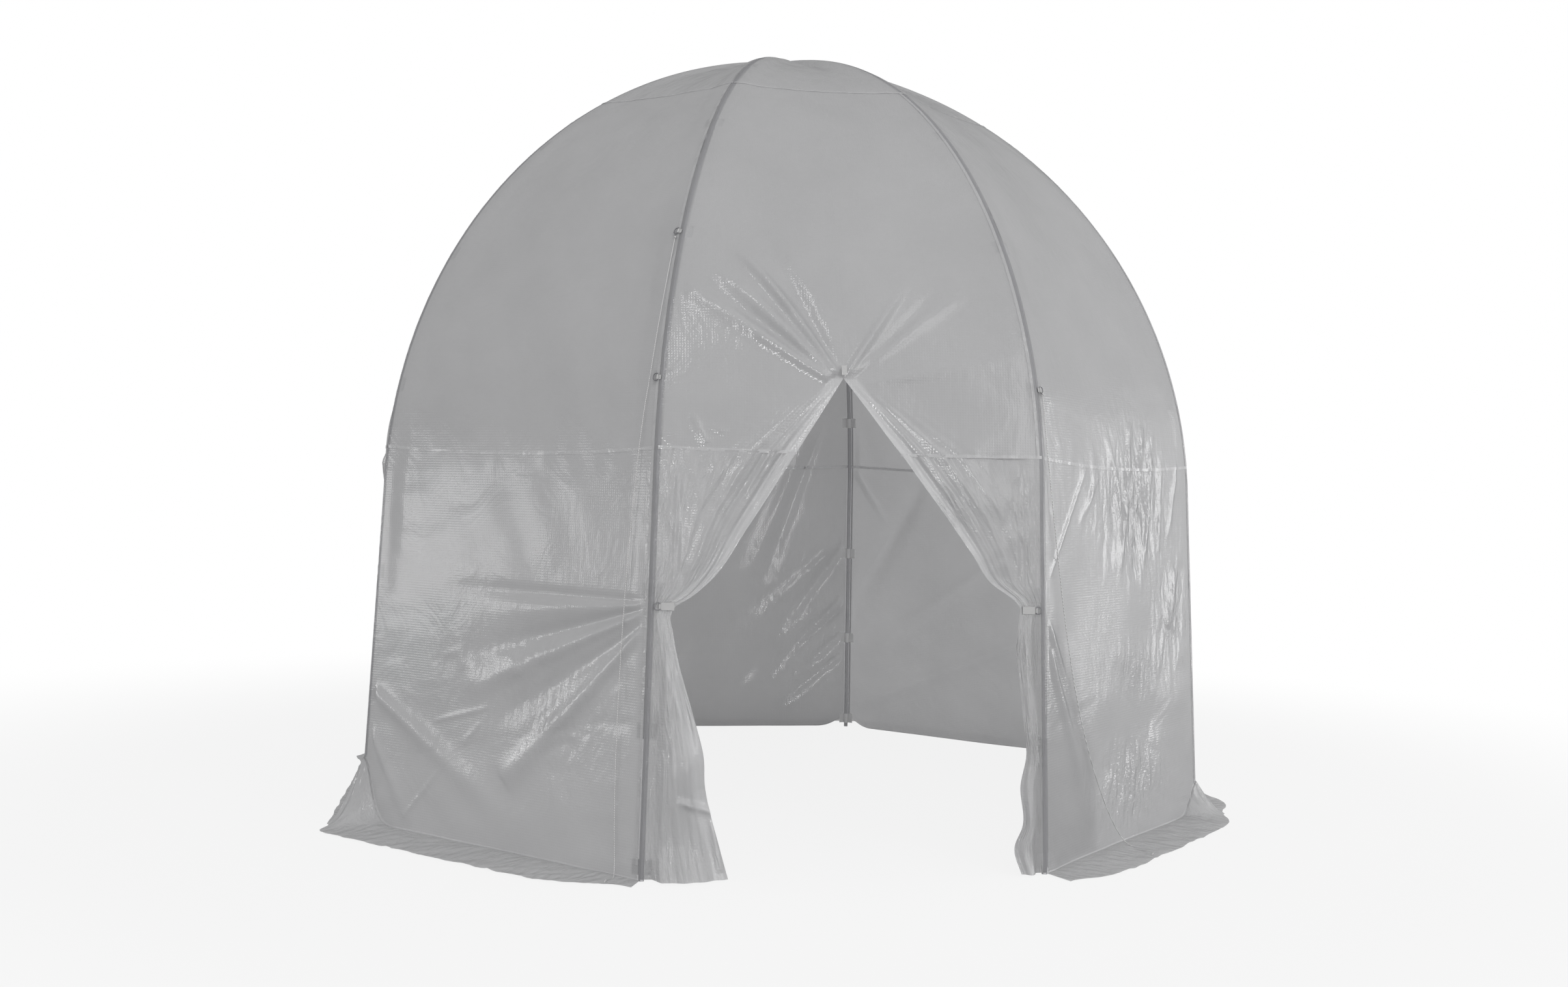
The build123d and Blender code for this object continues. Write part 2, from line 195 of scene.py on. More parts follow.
def sheet_mesh(name, cuts, material):
    """A mesh of quads on one or more grids of points. Each cut is its points, its places on the flat
    film, how finely wrinkled it is, from 0 to 1, 1 where two layers are welded, which also carries the
    painted light of the whiter inner cross welds, and 1 where it lies on a tube or a strap."""
    places, corners, flat = [], [], []
    shares = {"worked": [], "welded": [], "backed": []}
    first = 0
    for points, uv, *values in cuts:
        rows, columns = points.shape[:2]
        index = first + np.arange(rows * columns).reshape(rows, columns)
        quads = np.stack([index[:-1, :-1], index[:-1, 1:], index[1:, 1:], index[1:, :-1]], axis=-1)
        places.append(points.reshape(-1, 3))
        corners.append(quads.reshape(-1, 4))
        flat.append(uv.reshape(-1, 2))
        for share, value in zip(shares.values(), values):
            share.append(np.broadcast_to(value, (rows, columns)).reshape(-1))
        first += rows * columns
    corners = np.concatenate(corners)
    mesh = bpy.data.meshes.new(name)
    mesh.vertices.add(first)
    mesh.vertices.foreach_set("co", np.concatenate(places).reshape(-1).astype(np.float32))
    mesh.loops.add(corners.size)
    mesh.loops.foreach_set("vertex_index", corners.reshape(-1).astype(np.int32))
    mesh.polygons.add(len(corners))
    mesh.polygons.foreach_set("loop_start", (np.arange(len(corners)) * 4).astype(np.int32))
    mesh.update(calc_edges=True)
    layer = mesh.uv_layers.new(name="Film")
    layer.data.foreach_set("uv", np.concatenate(flat)[corners.reshape(-1)].reshape(-1).astype(np.float32))
    for attribute_name, values in shares.items():
        attribute = mesh.attributes.new(attribute_name, "FLOAT", "POINT")
        attribute.data.foreach_set("value", np.clip(np.concatenate(values), 0, 1).astype(np.float32))
    mesh.polygons.foreach_set("use_smooth", np.ones(len(corners), bool))
    mesh.materials.append(material)
    return add_object(name, mesh)


def close_seams(piece):
    """Joins the points that meet where two grids of a piece share an edge."""
    shape = bmesh.new()
    shape.from_mesh(piece.data)
    bmesh.ops.remove_doubles(shape, verts=shape.verts, dist=0.00002)
    shape.to_mesh(piece.data)
    shape.free()


def triangle_wave(x):
    """A zigzag between -1 and 1 with straight flanks and sharp tops, of period 1."""
    return 4 * np.abs(x - np.floor(x + 0.5)) - 1


def smooth_noise(x, y, size, seed):
    """Soft random hills about -1 to 1: eight sine waves of random direction, length and phase."""
    random = np.random.default_rng(seed)
    total = np.zeros(np.broadcast(x, y).shape)
    for _ in range(8):
        turn = random.uniform(0, 2 * pi)
        wave = 2 * pi / (size * random.uniform(0.7, 1.6))
        total += np.sin(wave * (x * np.cos(turn) + y * np.sin(turn)) + random.uniform(0, 2 * pi))
    return total / 3


def crumple(x, y, size, seed):
    """Crumpled film about -1 to 1: flat facets that meet in sharp creases. It sums zigzags of random
    directions, whose lines are bent by soft hills so that no crease runs straight."""
    random = np.random.default_rng(seed)
    bend_x = 0.35 * size * smooth_noise(x, y, 2.2 * size, seed + 1)
    bend_y = 0.35 * size * smooth_noise(x, y, 2.2 * size, seed + 2)
    total = np.zeros(np.broadcast(x, y).shape)
    for share in (1.0, 0.8, 0.6, 0.45):
        turn = random.uniform(0, pi)
        wave = 1 / (size * random.uniform(0.8, 1.5) * (0.5 + share))
        along = (x + bend_x) * np.cos(turn) + (y + bend_y) * np.sin(turn)
        total += share * triangle_wave(wave * along + random.uniform(0, 1))
    return total / 2


def fold(x, y, start, end, height, start_width, end_width, early=0.5, late=0.5, sharp=False):
    """A fold along a line: its height rises and falls along the line as powers of the distance from
    both ends, and its cross-section is a soft bell, or a ridge with a sharp top."""
    run = np.subtract(end, start)
    length = np.hypot(*run)
    along = ((x - start[0]) * run[0] + (y - start[1]) * run[1]) / length ** 2
    beside = ((y - start[1]) * run[0] - (x - start[0]) * run[1]) / length
    inside = np.clip(along, 1e-4, 1 - 1e-4)
    width = start_width + (end_width - start_width) * inside
    swell = inside ** early * (1 - inside) ** late * 2 ** (early + late)
    swell = np.where((along > 0) & (along < 1), swell, 0)
    if sharp:
        return height * swell * np.exp(-np.abs(beside) / width)
    return height * swell * np.exp(-(beside / width) ** 2)


def folds(x, y, rows, sharp=False):
    """The sum of folds and, where the height is below 0, grooves. Each row is the start and the end of
    one, its height, its width at both ends, and how early it rises and how late it falls."""
    return sum(fold(x, y, row[:2], row[2:4], *row[4:], sharp=sharp) for row in rows)


def patch_of(x, y, centre, size):
    """1 in the middle of an oval and 0 well outside it, as a bell over both half widths."""
    return np.exp(-((x - centre[0]) / size[0]) ** 2 - ((y - centre[1]) / size[1]) ** 2)


def patches(x, y, rows):
    """The sum of oval patches. Each row is a patch's strength, its middle and its half widths."""
    return sum(strength * patch_of(x, y, rest[:2], rest[2:]) for strength, *rest in rows)


# Film finish: the grid of threads shows as fine ribs, and the skins are glossy and crumpled into long
# flat facets. Light passes through, scattered, so only what the film lies on shows through clearly.
THREAD_PITCH = 0.009
CREASE_SIZE = 0.20
FACET_SIZES = ((0.30, 0.045), (-0.35, 0.024))
FINE_FACETS = 0.22
FACET_STRETCH = 0.30
SPARKLE_SIZE = 0.014
film = new_material("Grid-reinforced polyethylene film")
sheet_place = add_node(film, "UVMap", uv_map="Film")
worked_here, welded_and_painted_light, backed_here = [
    add_node(film, "Attribute", attribute_name=name).outputs["Fac"]
    for name in ("worked", "welded", "backed")]
threads = [add_node(film, "TexWave",
                    {"Vector": sheet_place, "Scale": pi / (10 * THREAD_PITCH), "Distortion": 0.0},
                    wave_type="BANDS", bands_direction=direction, wave_profile="SIN").outputs["Fac"]
           for direction in ("X", "Y")]
thread_grid = add_node(film, "Math", {0: threads[0], 1: threads[1]}, operation="MAXIMUM")
sway = add_node(film, "TexNoise", {"Vector": sheet_place, "Scale": 5.0, "Detail": 3.0},
                noise_dimensions="2D")
swayed = add_node(film, "VectorMath",
                  {0: sway.outputs["Color"], 1: (0.06, 0.06, 0.0), 2: sheet_place},
                  operation="MULTIPLY_ADD")
facets = []
for turned, size in FACET_SIZES:
    along = add_node(film, "Mapping", {"Vector": swayed, "Rotation": (0.0, 0.0, turned),
                                       "Scale": (1.0, FACET_STRETCH, 1.0)})
    facets.append(add_node(film, "TexVoronoi", {"Vector": along, "Scale": 1 / size},
                           voronoi_dimensions="2D", feature="DISTANCE_TO_EDGE").outputs["Distance"])
facet_sum = add_node(film, "Math", {0: facets[1], 1: FINE_FACETS, 2: facets[0]},
                     operation="MULTIPLY_ADD")
facet_height = add_node(film, "Math", {0: facet_sum, 1: worked_here}, operation="MULTIPLY")
sparkle = add_node(film, "TexNoise", {"Vector": sheet_place, "Scale": 1 / SPARKLE_SIZE, "Detail": 2.0},
                   noise_dimensions="2D")
sparkle_height = add_node(film, "Math", {0: sparkle, 1: worked_here}, operation="MULTIPLY")
crease = add_node(film, "TexNoise",
                  {"Vector": sheet_place, "Scale": 1 / CREASE_SIZE, "Detail": 3.0, "Roughness": 0.5,
                   "Distortion": 1.0}, noise_dimensions="2D")
thread_bump = add_node(film, "Bump", {"Height": thread_grid, "Strength": 0.5, "Distance": 0.0005})
crease_bump = add_node(film, "Bump", {"Height": crease, "Strength": 0.6, "Distance": 0.005,
                                      "Normal": thread_bump})
facet_bump = add_node(film, "Bump", {"Height": facet_height, "Strength": 1.0, "Distance": 0.0105,
                                     "Normal": crease_bump})
film_bump = add_node(film, "Bump", {"Height": sparkle_height, "Strength": 1.0, "Distance": 0.0025,
                                    "Normal": facet_bump})
cloud = add_node(film, "TexNoise", {"Vector": sheet_place, "Scale": 3.0, "Detail": 3.0},
                 noise_dimensions="2D")
single_colour = add_node(film, "Mix", {0: cloud, 6: linear("B8B8B9"), 7: linear("C2C2C3")},
                         data_type="RGBA").outputs[2]
# Welded film and hems are doubled and whiter; on inner cross welds this whiter colour is also painted
# light
film_colour = add_node(film, "Mix", {0: welded_and_painted_light, 6: single_colour, 7: linear("EAEAEB")},
                       data_type="RGBA").outputs[2]
front_light = add_node(film, "BsdfPrincipled", {"Base Color": film_colour, "Roughness": 0.13,
                                                "IOR": 1.7, "Normal": film_bump})
back_light = add_node(film, "BsdfTranslucent", {"Color": film_colour, "Normal": film_bump})
let_through = add_node(film, "MapRange", {"Value": welded_and_painted_light, "To Min": 0.54, "To Max": 0.15})
haze = add_node(film, "MixShader", {"Fac": let_through, 1: front_light, 2: back_light})
clear = add_node(film, "BsdfTransparent", {"Color": linear("CECED0")})
clear_share = add_node(film, "MapRange", {"Value": backed_here, "To Min": 0.03, "To Max": 0.52})
film_surface = add_node(film, "MixShader", {"Fac": clear_share, 1: haze, 2: clear})
add_node(film, "OutputMaterial", {"Surface": film_surface})


# Wrinkles of each side. Places are metres across from the middle of the side and up along it.
def front_lift(x, y):
    """Front side: creases that run up and out from the top of the door slit."""
    lift = folds(x, y, (
        (-0.05, 1.67, -0.37, 2.12, 0.020, 0.012, 0.026, 0.3, 0.8),
        (-0.06, 1.70, -0.30, 2.20, -0.012, 0.014, 0.045, 0.4),
        (-0.07, 1.66, -0.46, 2.05, 0.020, 0.014, 0.040, 0.3, 0.6),
        (-0.07, 1.66, -0.50, 1.98, -0.011, 0.010, 0.035, 0.4),
        (-0.08, 1.65, -0.58, 1.98, 0.018, 0.014, 0.046, 0.3),
        (-0.20, 1.88, -0.40, 2.14, 0.009, 0.010, 0.018, 0.5, 0.8),
        (-0.02, 1.67, 0.23, 2.06, 0.012, 0.010, 0.020, 0.3, 0.9),
        (0.00, 1.67, 0.45, 2.03, 0.010, 0.012, 0.034, 0.4, 0.9),
        (0.01, 1.66, 0.36, 2.04, -0.008, 0.010, 0.030, 0.4, 0.8),
        (0.05, 1.645, 0.62, 1.75, 0.007, 0.010, 0.050, 0.5, 0.8),
    ))
    for shift in (-0.008, 0.008):
        lift += fold(x, y, (-0.036 + shift, 1.70), (-0.02 + shift, 2.45), 0.0012, 0.002, 0.002,
                     early=0.05, late=0.1)
    lift += folds(x, y, (
        (-0.55, 1.53, -0.49, 1.42, 0.006, 0.006, 0.016),
        (-0.50, 1.48, -0.42, 1.46, 0.004, 0.005, 0.012),
    ), sharp=True)
    return lift


def front_left_lift(x, y):
    """Side left of the door: folds that fan out to the left and down from the left door tie."""
    lift = folds(x, y, (
        (0.68, 0.90, -0.30, 0.90, -0.006, 0.012, 0.030, 0.5, 0.7),
        (0.66, 0.89, -0.10, 0.82, 0.006, 0.010, 0.045, 0.5, 0.7),
        (0.66, 0.88, -0.20, 0.66, -0.013, 0.008, 0.050, 0.5, 0.8),
        (0.66, 0.87, -0.20, 0.53, 0.014, 0.008, 0.050, 0.5, 0.8),
        (0.66, 0.84, -0.05, 0.42, -0.012, 0.010, 0.050, 0.5, 0.8),
        (0.66, 0.83, 0.04, 0.24, 0.020, 0.012, 0.048, 0.5, 0.35),
        (-0.70, 0.52, 0.12, 0.08, 0.012, 0.020, 0.060, 0.3, 0.8),
        (-0.70, 0.42, -0.42, 0.02, 0.008, 0.012, 0.030, 0.3, 0.8),
    ))
    lift += folds(x, y, (
        (-0.28, 0.245, -0.46, 0.045, 0.006, 0.004, 0.006),
        (-0.09, 0.43, -0.17, 0.345, 0.004, 0.004, 0.005),
        (-0.04, 0.49, -0.33, 0.41, 0.004, 0.004, 0.006),
        (0.27, 0.37, 0.28, 0.19, 0.004, 0.004, 0.006),
        (0.34, 0.43, 0.36, 0.24, 0.004, 0.004, 0.006),
    ), sharp=True)
    worked = patches(x, y, ((1, 0.0, 0.64, 0.32, 0.11), (1, 0.33, 0.48, 0.22, 0.16)))
    along, beside = 0.8 * x + 0.6 * y, 0.8 * y - 0.6 * x
    lift += 0.0022 * np.clip(worked, 0, 1) * crumple(0.4 * along, beside, 0.05, 11)
    return lift


def front_right_lift(x, y):
    """Side right of the door: long upright wrinkles below the seam and a crumpled foot."""
    lift = folds(x, y, (
        (0.27, 1.50, 0.10, 0.95, -0.010, 0.012, 0.040),
        (-0.70, 0.92, -0.42, 0.50, 0.010, 0.015, 0.030, 0.4, 0.9),
        (-0.70, 0.86, -0.30, 0.10, 0.012, 0.015, 0.045, 0.4, 0.9),
    ))
    lift += folds(x, y, (
        (-0.30, 1.38, -0.62, 1.00, 0.009, 0.006, 0.008),
        (0.12, 1.56, -0.02, 1.00, 0.014, 0.010, 0.024),
        (0.24, 1.55, 0.10, 1.10, 0.014, 0.010, 0.022),
        (-0.21, 1.38, -0.30, 1.22, 0.005, 0.005, 0.008),
        (0.33, 1.52, 0.20, 1.02, 0.012, 0.008, 0.020),
        (0.40, 1.45, 0.34, 1.05, 0.010, 0.008, 0.018),
        (0.54, 1.42, 0.44, 1.12, 0.008, 0.008, 0.018),
        (0.50, 1.00, 0.44, 0.76, 0.014, 0.020, 0.030),
        (-0.10, 1.50, 0.06, 1.14, 0.009, 0.010, 0.020),
        (-0.18, 1.36, -0.36, 1.18, 0.006, 0.008, 0.014),
    ), sharp=True)
    worked = patches(x, y, ((1, 0.12, 1.25, 0.30, 0.22), (1, 0.05, 0.24, 0.28, 0.14),
                            (0.7, 0.45, 0.80, 0.14, 0.20), (0.35, 0.15, 0.62, 0.35, 0.12)))
    lift += 0.0055 * np.clip(worked, 0, 1) * crumple(x - 0.15 * y, 0.33 * y, 0.065, 23)
    return lift


def back_lift(x, y):
    """Back side: loose diagonal folds that run down from its right pole, as on most of the sides."""
    lift = folds(x, y, (
        (-0.50, 1.62, -0.20, 0.78, 0.020, 0.012, 0.034, 0.5, 0.6),
        (-0.42, 1.55, -0.12, 0.80, -0.014, 0.015, 0.045, 0.5, 0.6),
        (-0.66, 1.00, -0.28, 0.50, 0.024, 0.012, 0.034, 0.4, 0.6),
        (-0.62, 1.00, -0.16, 0.55, -0.014, 0.014, 0.045, 0.4, 0.6),
        (-0.67, 0.72, -0.20, 0.24, 0.026, 0.012, 0.032, 0.4, 0.6),
        (-0.66, 0.66, -0.10, 0.18, -0.014, 0.012, 0.040, 0.4, 0.6),
        (-0.69, 0.54, -0.46, 0.34, 0.018, 0.010, 0.024, 0.4, 0.6),
        (-0.69, 0.42, -0.30, 0.12, 0.020, 0.010, 0.030, 0.4, 0.6),
    ))
    worked = patch_of(x, y, (-0.45, 0.55), (0.25, 0.40))
    along, beside = 0.6 * x - 0.8 * y, 0.8 * x + 0.6 * y
    lift += 0.004 * np.clip(worked, 0, 1) * crumple(0.3 * along, beside, 0.05, 31)
    return lift


def back_right_lift(x, y):
    """Side right of the back: a long soft fold and a slack patch under its seam."""
    lift = folds(x, y, (
        (0.24, 1.27, 0.60, 0.76, 0.008, 0.006, 0.010, 0.5, 0.7),
        (0.20, 1.30, 0.66, 0.55, -0.020, 0.030, 0.070, 0.5, 0.7),
        (-0.30, 0.98, 0.60, 0.38, 0.016, 0.020, 0.050, 0.5, 0.7),
        (-0.55, 0.60, 0.62, 0.12, 0.016, 0.020, 0.040, 0.5, 0.7),
        (0.66, 1.42, 0.42, 1.10, 0.012, 0.008, 0.020, 0.4, 0.8),
    ))
    lift += 0.024 * patch_of(x, y, (0.40, 1.44), (0.22, 0.12))
    return lift


def mirrored_back_lift(x, y):
    """The folds of the back side, the other way round."""
    return back_lift(-x, y)


side_lifts = {
    "front": front_lift, "front_left": front_left_lift, "front_right": front_right_lift,
    "back": back_lift, "back_right": back_right_lift, "back_left": mirrored_back_lift,
    "left": back_right_lift, "right": mirrored_back_lift,
}
STRAP_HEIGHTS = (0.045, 0.480, 0.934, 1.631, 2.138, 2.587, 2.920)
STRAP_HALF_HEIGHT = 0.025
STRAP_REACH = 0.034
STRAP_SHOWS = 0.25
TUBE_RADIUS = 0.0095
DRAWN_IN = 0.009
BROAD_HILLS = 0.0045
SMALL_HILLS = 0.0012
POLE_PUCKER = 0.0022
SEAM_PUCKER = 0.0016


def smooth_step(x):
    """0 below 0, 1 above 1, and a smooth cubic between."""
    x = np.clip(x, 0, 1)
    return x * x * (3 - 2 * x)


def side_seed(side):
    """The first of a side's own random seeds."""
    return 100 * list(SIDE_ANGLES).index(side)


def film_lift(side, across, length):
    """How far a side's film stands off the flat chord: it is drawn in a little between the poles,
    has soft hills and pucker along the poles and seams, and the side's own folds. Beside the poles
    it is sewn to the straps, so it lies flat there."""
    seed = side_seed(side)
    half = half_width(length)
    to_edge = half - np.abs(across)
    share = np.clip(np.abs(across) / half, 0, 1)
    free = smooth_step((to_edge - STRAP_REACH) / 0.08)
    lift = -DRAWN_IN * (1 - share ** 2) * free
    lift += BROAD_HILLS * free * smooth_noise(across, length, 0.75, seed + 1)
    lift += SMALL_HILLS * free * smooth_noise(across, length, 0.22, seed + 2)
    near_pole = np.exp(-to_edge / 0.10)
    pucker = POLE_PUCKER * near_pole * free
    lift += pucker * smooth_noise(across * 0.25, length, 0.10, seed + 3)
    near_seam = np.exp(-((length - float(length_at(SEAM_HEIGHT))) / 0.07) ** 2)
    pucker = SEAM_PUCKER * near_seam * free
    lift += pucker * smooth_noise(across, length * 0.3, 0.09, seed + 4)
    held = smooth_step((to_edge - 0.028) / 0.03)
    lift += held * side_lifts[side](across, length)
    return lift - CORNER_DROP * np.clip(1 - to_edge / CORNER_WIDTH, 0, 1) ** 2


def film_backed(across, length):
    """1 where the film lies on a pole, STRAP_SHOWS on the tail of a strap, and 0 where it hangs free."""
    to_edge = half_width(length) - np.abs(across)
    backed = 1 - smooth_step((to_edge - TUBE_RADIUS - 0.001) / 0.004)
    within = 1 - smooth_step((to_edge - STRAP_REACH) / 0.004)
    for height in STRAP_HEIGHTS:
        beside = np.abs(length - float(length_at(height))) - STRAP_HALF_HEIGHT
        strap = (1 - smooth_step((beside + 0.002) / 0.006)) * within
        backed = np.maximum(backed, STRAP_SHOWS * strap)
    return backed


# Patches of fine wrinkles on each side, as rows of patches
WORKED_PATCHES = {
    "front_right": ((0.95, 0.12, 1.27, 0.26, 0.24), (0.95, 0.05, 0.20, 0.30, 0.14),
                    (0.8, 0.48, 0.84, 0.14, 0.14), (0.5, 0.14, 0.64, 0.26, 0.10)),
    "front_left": ((0.22, 0.02, 0.62, 0.40, 0.16), (0.35, 0.32, 0.45, 0.22, 0.20)),
    "front": ((0.22, -0.35, 1.80, 0.26, 0.26), (0.10, 0.40, 1.62, 0.25, 0.25)),
    "back": ((0.35, -0.45, 0.60, 0.28, 0.45),),
    "right": ((0.35, -0.45, 0.60, 0.28, 0.45),),
}


def film_worked(side, across, length):
    """How finely wrinkled a side is, from 0 to 1: everywhere a little, more where it is handled, and
    most in a narrow streak beside the pole left of the door."""
    worked = 0.04 + 0.03 * smooth_noise(across, length, 0.5, side_seed(side) + 6)
    worked += patches(across, length, WORKED_PATCHES.get(side, ()))
    if side == "front_left":
        beside_pole = half_width(length) - across
        streak = np.exp(-((beside_pole - 0.018) / 0.010) ** 2)
        worked += 0.9 * streak * patch_of(0, length, (0, 1.19), (1, 0.17))
    return worked


seam_length = float(length_at(SEAM_HEIGHT))
crown_length = float(length_at(CROWN_HEIGHT))
CELLS = {"front": 0.008, "front_left": 0.008, "front_right": 0.008}
COARSE_CELL = 0.014
pole_ring = ("front_left", "front_right", "right_front", "right_back", "back_right", "back_left",
             "left_back", "left_front")
poles_by_side = {side: (pole_ring[i], pole_ring[(i + 1) % 8]) for i, side in enumerate(SIDE_ANGLES)}


def declare_film(piece, node, width, length, area, held, *rests_on):
    """Hangs a cut of film from the root and hides the CAD node that it stands for."""
    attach(piece, "root")
    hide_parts(node)


def grid_area(points):
    """Area of a grid of points: half the cross product of each cell's diagonals, summed."""
    one = points[1:, 1:] - points[:-1, :-1]
    other = points[1:, :-1] - points[:-1, 1:]
    return float(np.linalg.norm(np.cross(one, other), axis=-1).sum() / 2)


WELD_HALF = 0.0055
WELD_RISE = 0.0012
WELD_FROM_POLE = 0.016
WELD_STEP = 0.012
WELD_COLUMNS = 190
# How worked, welded and backed the film is on a weld beside a pole, and on a cross weld by its face.
# The inner-face cross weld counts as fully welded: its doubled film is whiter, and its extra whiteness
# over the outer face is painted light, the light line the seam shows when lit from inside.
POLE_WELD = (0.5, 0.15, 0.0)
CROSS_WELDS = {1: (0.2, 0.2, 0.0), -1: (0.2, 1.0, 0.0)}
SEAM_SAG = 0.022
ROOF_COARSER = 1.25


def pole_weld(side, low, high):
    """The weld beside the right pole of a side, where two gores are joined: a doubled strip that runs
    up the side."""
    length = np.linspace(low, high, int((high - low) / WELD_STEP))[:, None]
    across = half_width(length) - WELD_FROM_POLE + WELD_HALF * np.linspace(-1, 1, 3)[None, :]
    wave = 0.0006 * smooth_noise(across, length, 0.06, 77)
    lift = film_lift(side, across, length) + WELD_RISE + np.abs(wave)
    return side_point(SIDE_ANGLES[side], across, length, lift), flat_place(across, length), *POLE_WELD


def cross_weld(side, low, high, middle, sag, facing=1):
    """A weld across a side between two shares of its width, on its outer face or, with facing -1, on
    its inner one, which is made whiter as painted light for the light line it shows from inside; it dips
    a little between the poles."""
    share = np.linspace(low, high, WELD_COLUMNS)[None, :]
    length = middle - sag * (1 - share ** 2) + WELD_HALF * np.linspace(-1, 1, 4)[:, None]
    across = half_width(length) * share
    wave = 0.0008 * smooth_noise(across, length, 0.05, 78)
    lift = film_lift(side, across, length) + facing * (WELD_RISE + np.abs(wave))
    points = side_point(SIDE_ANGLES[side], across, length, lift)
    return points, flat_place(across, length), *CROSS_WELDS[facing]


# Roof gores: they run from the seam at breast height up to the crown, and narrow as the poles close.
# Each is welded to its neighbours beside the poles.
seam_width = 2 * float(half_width(seam_length))
for side, angle in SIDE_ANGLES.items():
    if side == "front":
        continue
    cell = CELLS.get(side, COARSE_CELL) * ROOF_COARSER
    length = np.linspace(seam_length, crown_length, int((crown_length - seam_length) / cell))[:, None]
    across = half_width(length) * spread(int(seam_width / cell))[None, :]
    points = side_point(angle, across, length, film_lift(side, across, length))
    cuts = [(points, flat_place(across, length), film_worked(side, across, length), 0.0,
             film_backed(across, length)),
            pole_weld(side, seam_length, crown_length)]
    piece = sheet_mesh("film_roof_" + side, cuts, film)
    declare_film(piece, "roof_panel_" + side, seam_width, crown_length - seam_length, grid_area(points),
                 "stretched", *["pole_" + pole for pole in poles_by_side[side]])

# Front roof gore: its lower edge is slit, and the slit runs up to a stop. The two lips of the slit
# are hemmed, and they roll outward where the flaps below pull on them.
SLIT_APEX = 1.655
SLIT_SHIFT = -0.030
SLIT_SPREADS = {-1: 0.63, 1: 0.76}
SLIT_SLANT = 0.82
HEM_WIDTH = 0.034
HEM_CLOUD = 0.18
TIE_HEIGHT = 0.885
apex_length = float(length_at(SLIT_APEX))


def slit_edge(length, turn):
    """Place of the slit's edge across the front at a length up the poles, on one side of the slit."""
    height = side_profile(length)[1]
    return SLIT_SHIFT + turn * np.maximum(SLIT_APEX - height, 0) * SLIT_SPREADS[turn]


def slit_curl(edge, height):
    """How far the film stands out at a distance from the free edge of the door, at a height: narrow
    folds that run along the edge. They are widest at the seam and draw together towards the top of
    the slit and towards the tie."""
    steps = (TIE_HEIGHT - 0.02, TIE_HEIGHT + 0.05, 1.00, 1.20, 1.40, 1.55, SLIT_APEX - 0.01)
    depth = np.interp(height, steps, (0.0006, 0.0020, 0.0042, 0.0052, 0.0046, 0.0030, 0.0005))
    band = np.interp(height, steps, (0.040, 0.055, 0.095, 0.150, 0.150, 0.080, 0.020))
    wave = np.interp(height, steps, (0.016, 0.022, 0.036, 0.054, 0.056, 0.034, 0.014))
    ripple = np.sin(2 * pi * edge / wave + 0.9) + 0.3 * np.sin(4.6 * pi * edge / wave + 2.0)
    return depth * np.exp(-(edge / band) ** 2) * ripple


front_cuts = []
front_area = 0.0
cell = CELLS["front"]
below = np.linspace(seam_length, apex_length, int((apex_length - seam_length) / cell) + 1)
above = np.linspace(apex_length, crown_length, int((crown_length - apex_length) / cell))
length = np.concatenate([below, above[1:]])[:, None]
height = side_profile(length)[1]
share = np.linspace(0, 1, int(float(half_width(seam_length)) / cell))[None, :]
for turn in (-1, 1):
    pole_side = turn * half_width(length)
    across = pole_side + (slit_edge(length, turn) - pole_side) * share
    to_slit = SLIT_SLANT * np.abs(across - slit_edge(length, turn))
    lift = film_lift("front", across, length) + slit_curl(to_slit, height) * (height < SLIT_APEX)
    points = side_point(SIDE_ANGLES["front"], across, length, lift)
    front_area += grid_area(points)
    hem = HEM_CLOUD * (1 - smooth_step((to_slit - HEM_WIDTH) / 0.010)) * (height < SLIT_APEX)
    grids = (points, flat_place(across, length), film_worked("front", across, length), hem,
             film_backed(across, length))
    front_cuts.append(tuple(grid[:, ::-turn] for grid in grids))
    ends = sorted((0.995 * turn, slit_edge(seam_length, turn) / half_width(seam_length)))
    front_cuts.append(cross_weld("front", float(ends[0]), float(ends[1]), seam_length + 0.002, 0.004))
front_cuts.append(pole_weld("front", seam_length, crown_length))
piece = sheet_mesh("film_roof_front", front_cuts, film)
declare_film(piece, "roof_panel_front", seam_width, crown_length - seam_length, front_area, "stretched",
             "pole_front_left", "pole_front_right")

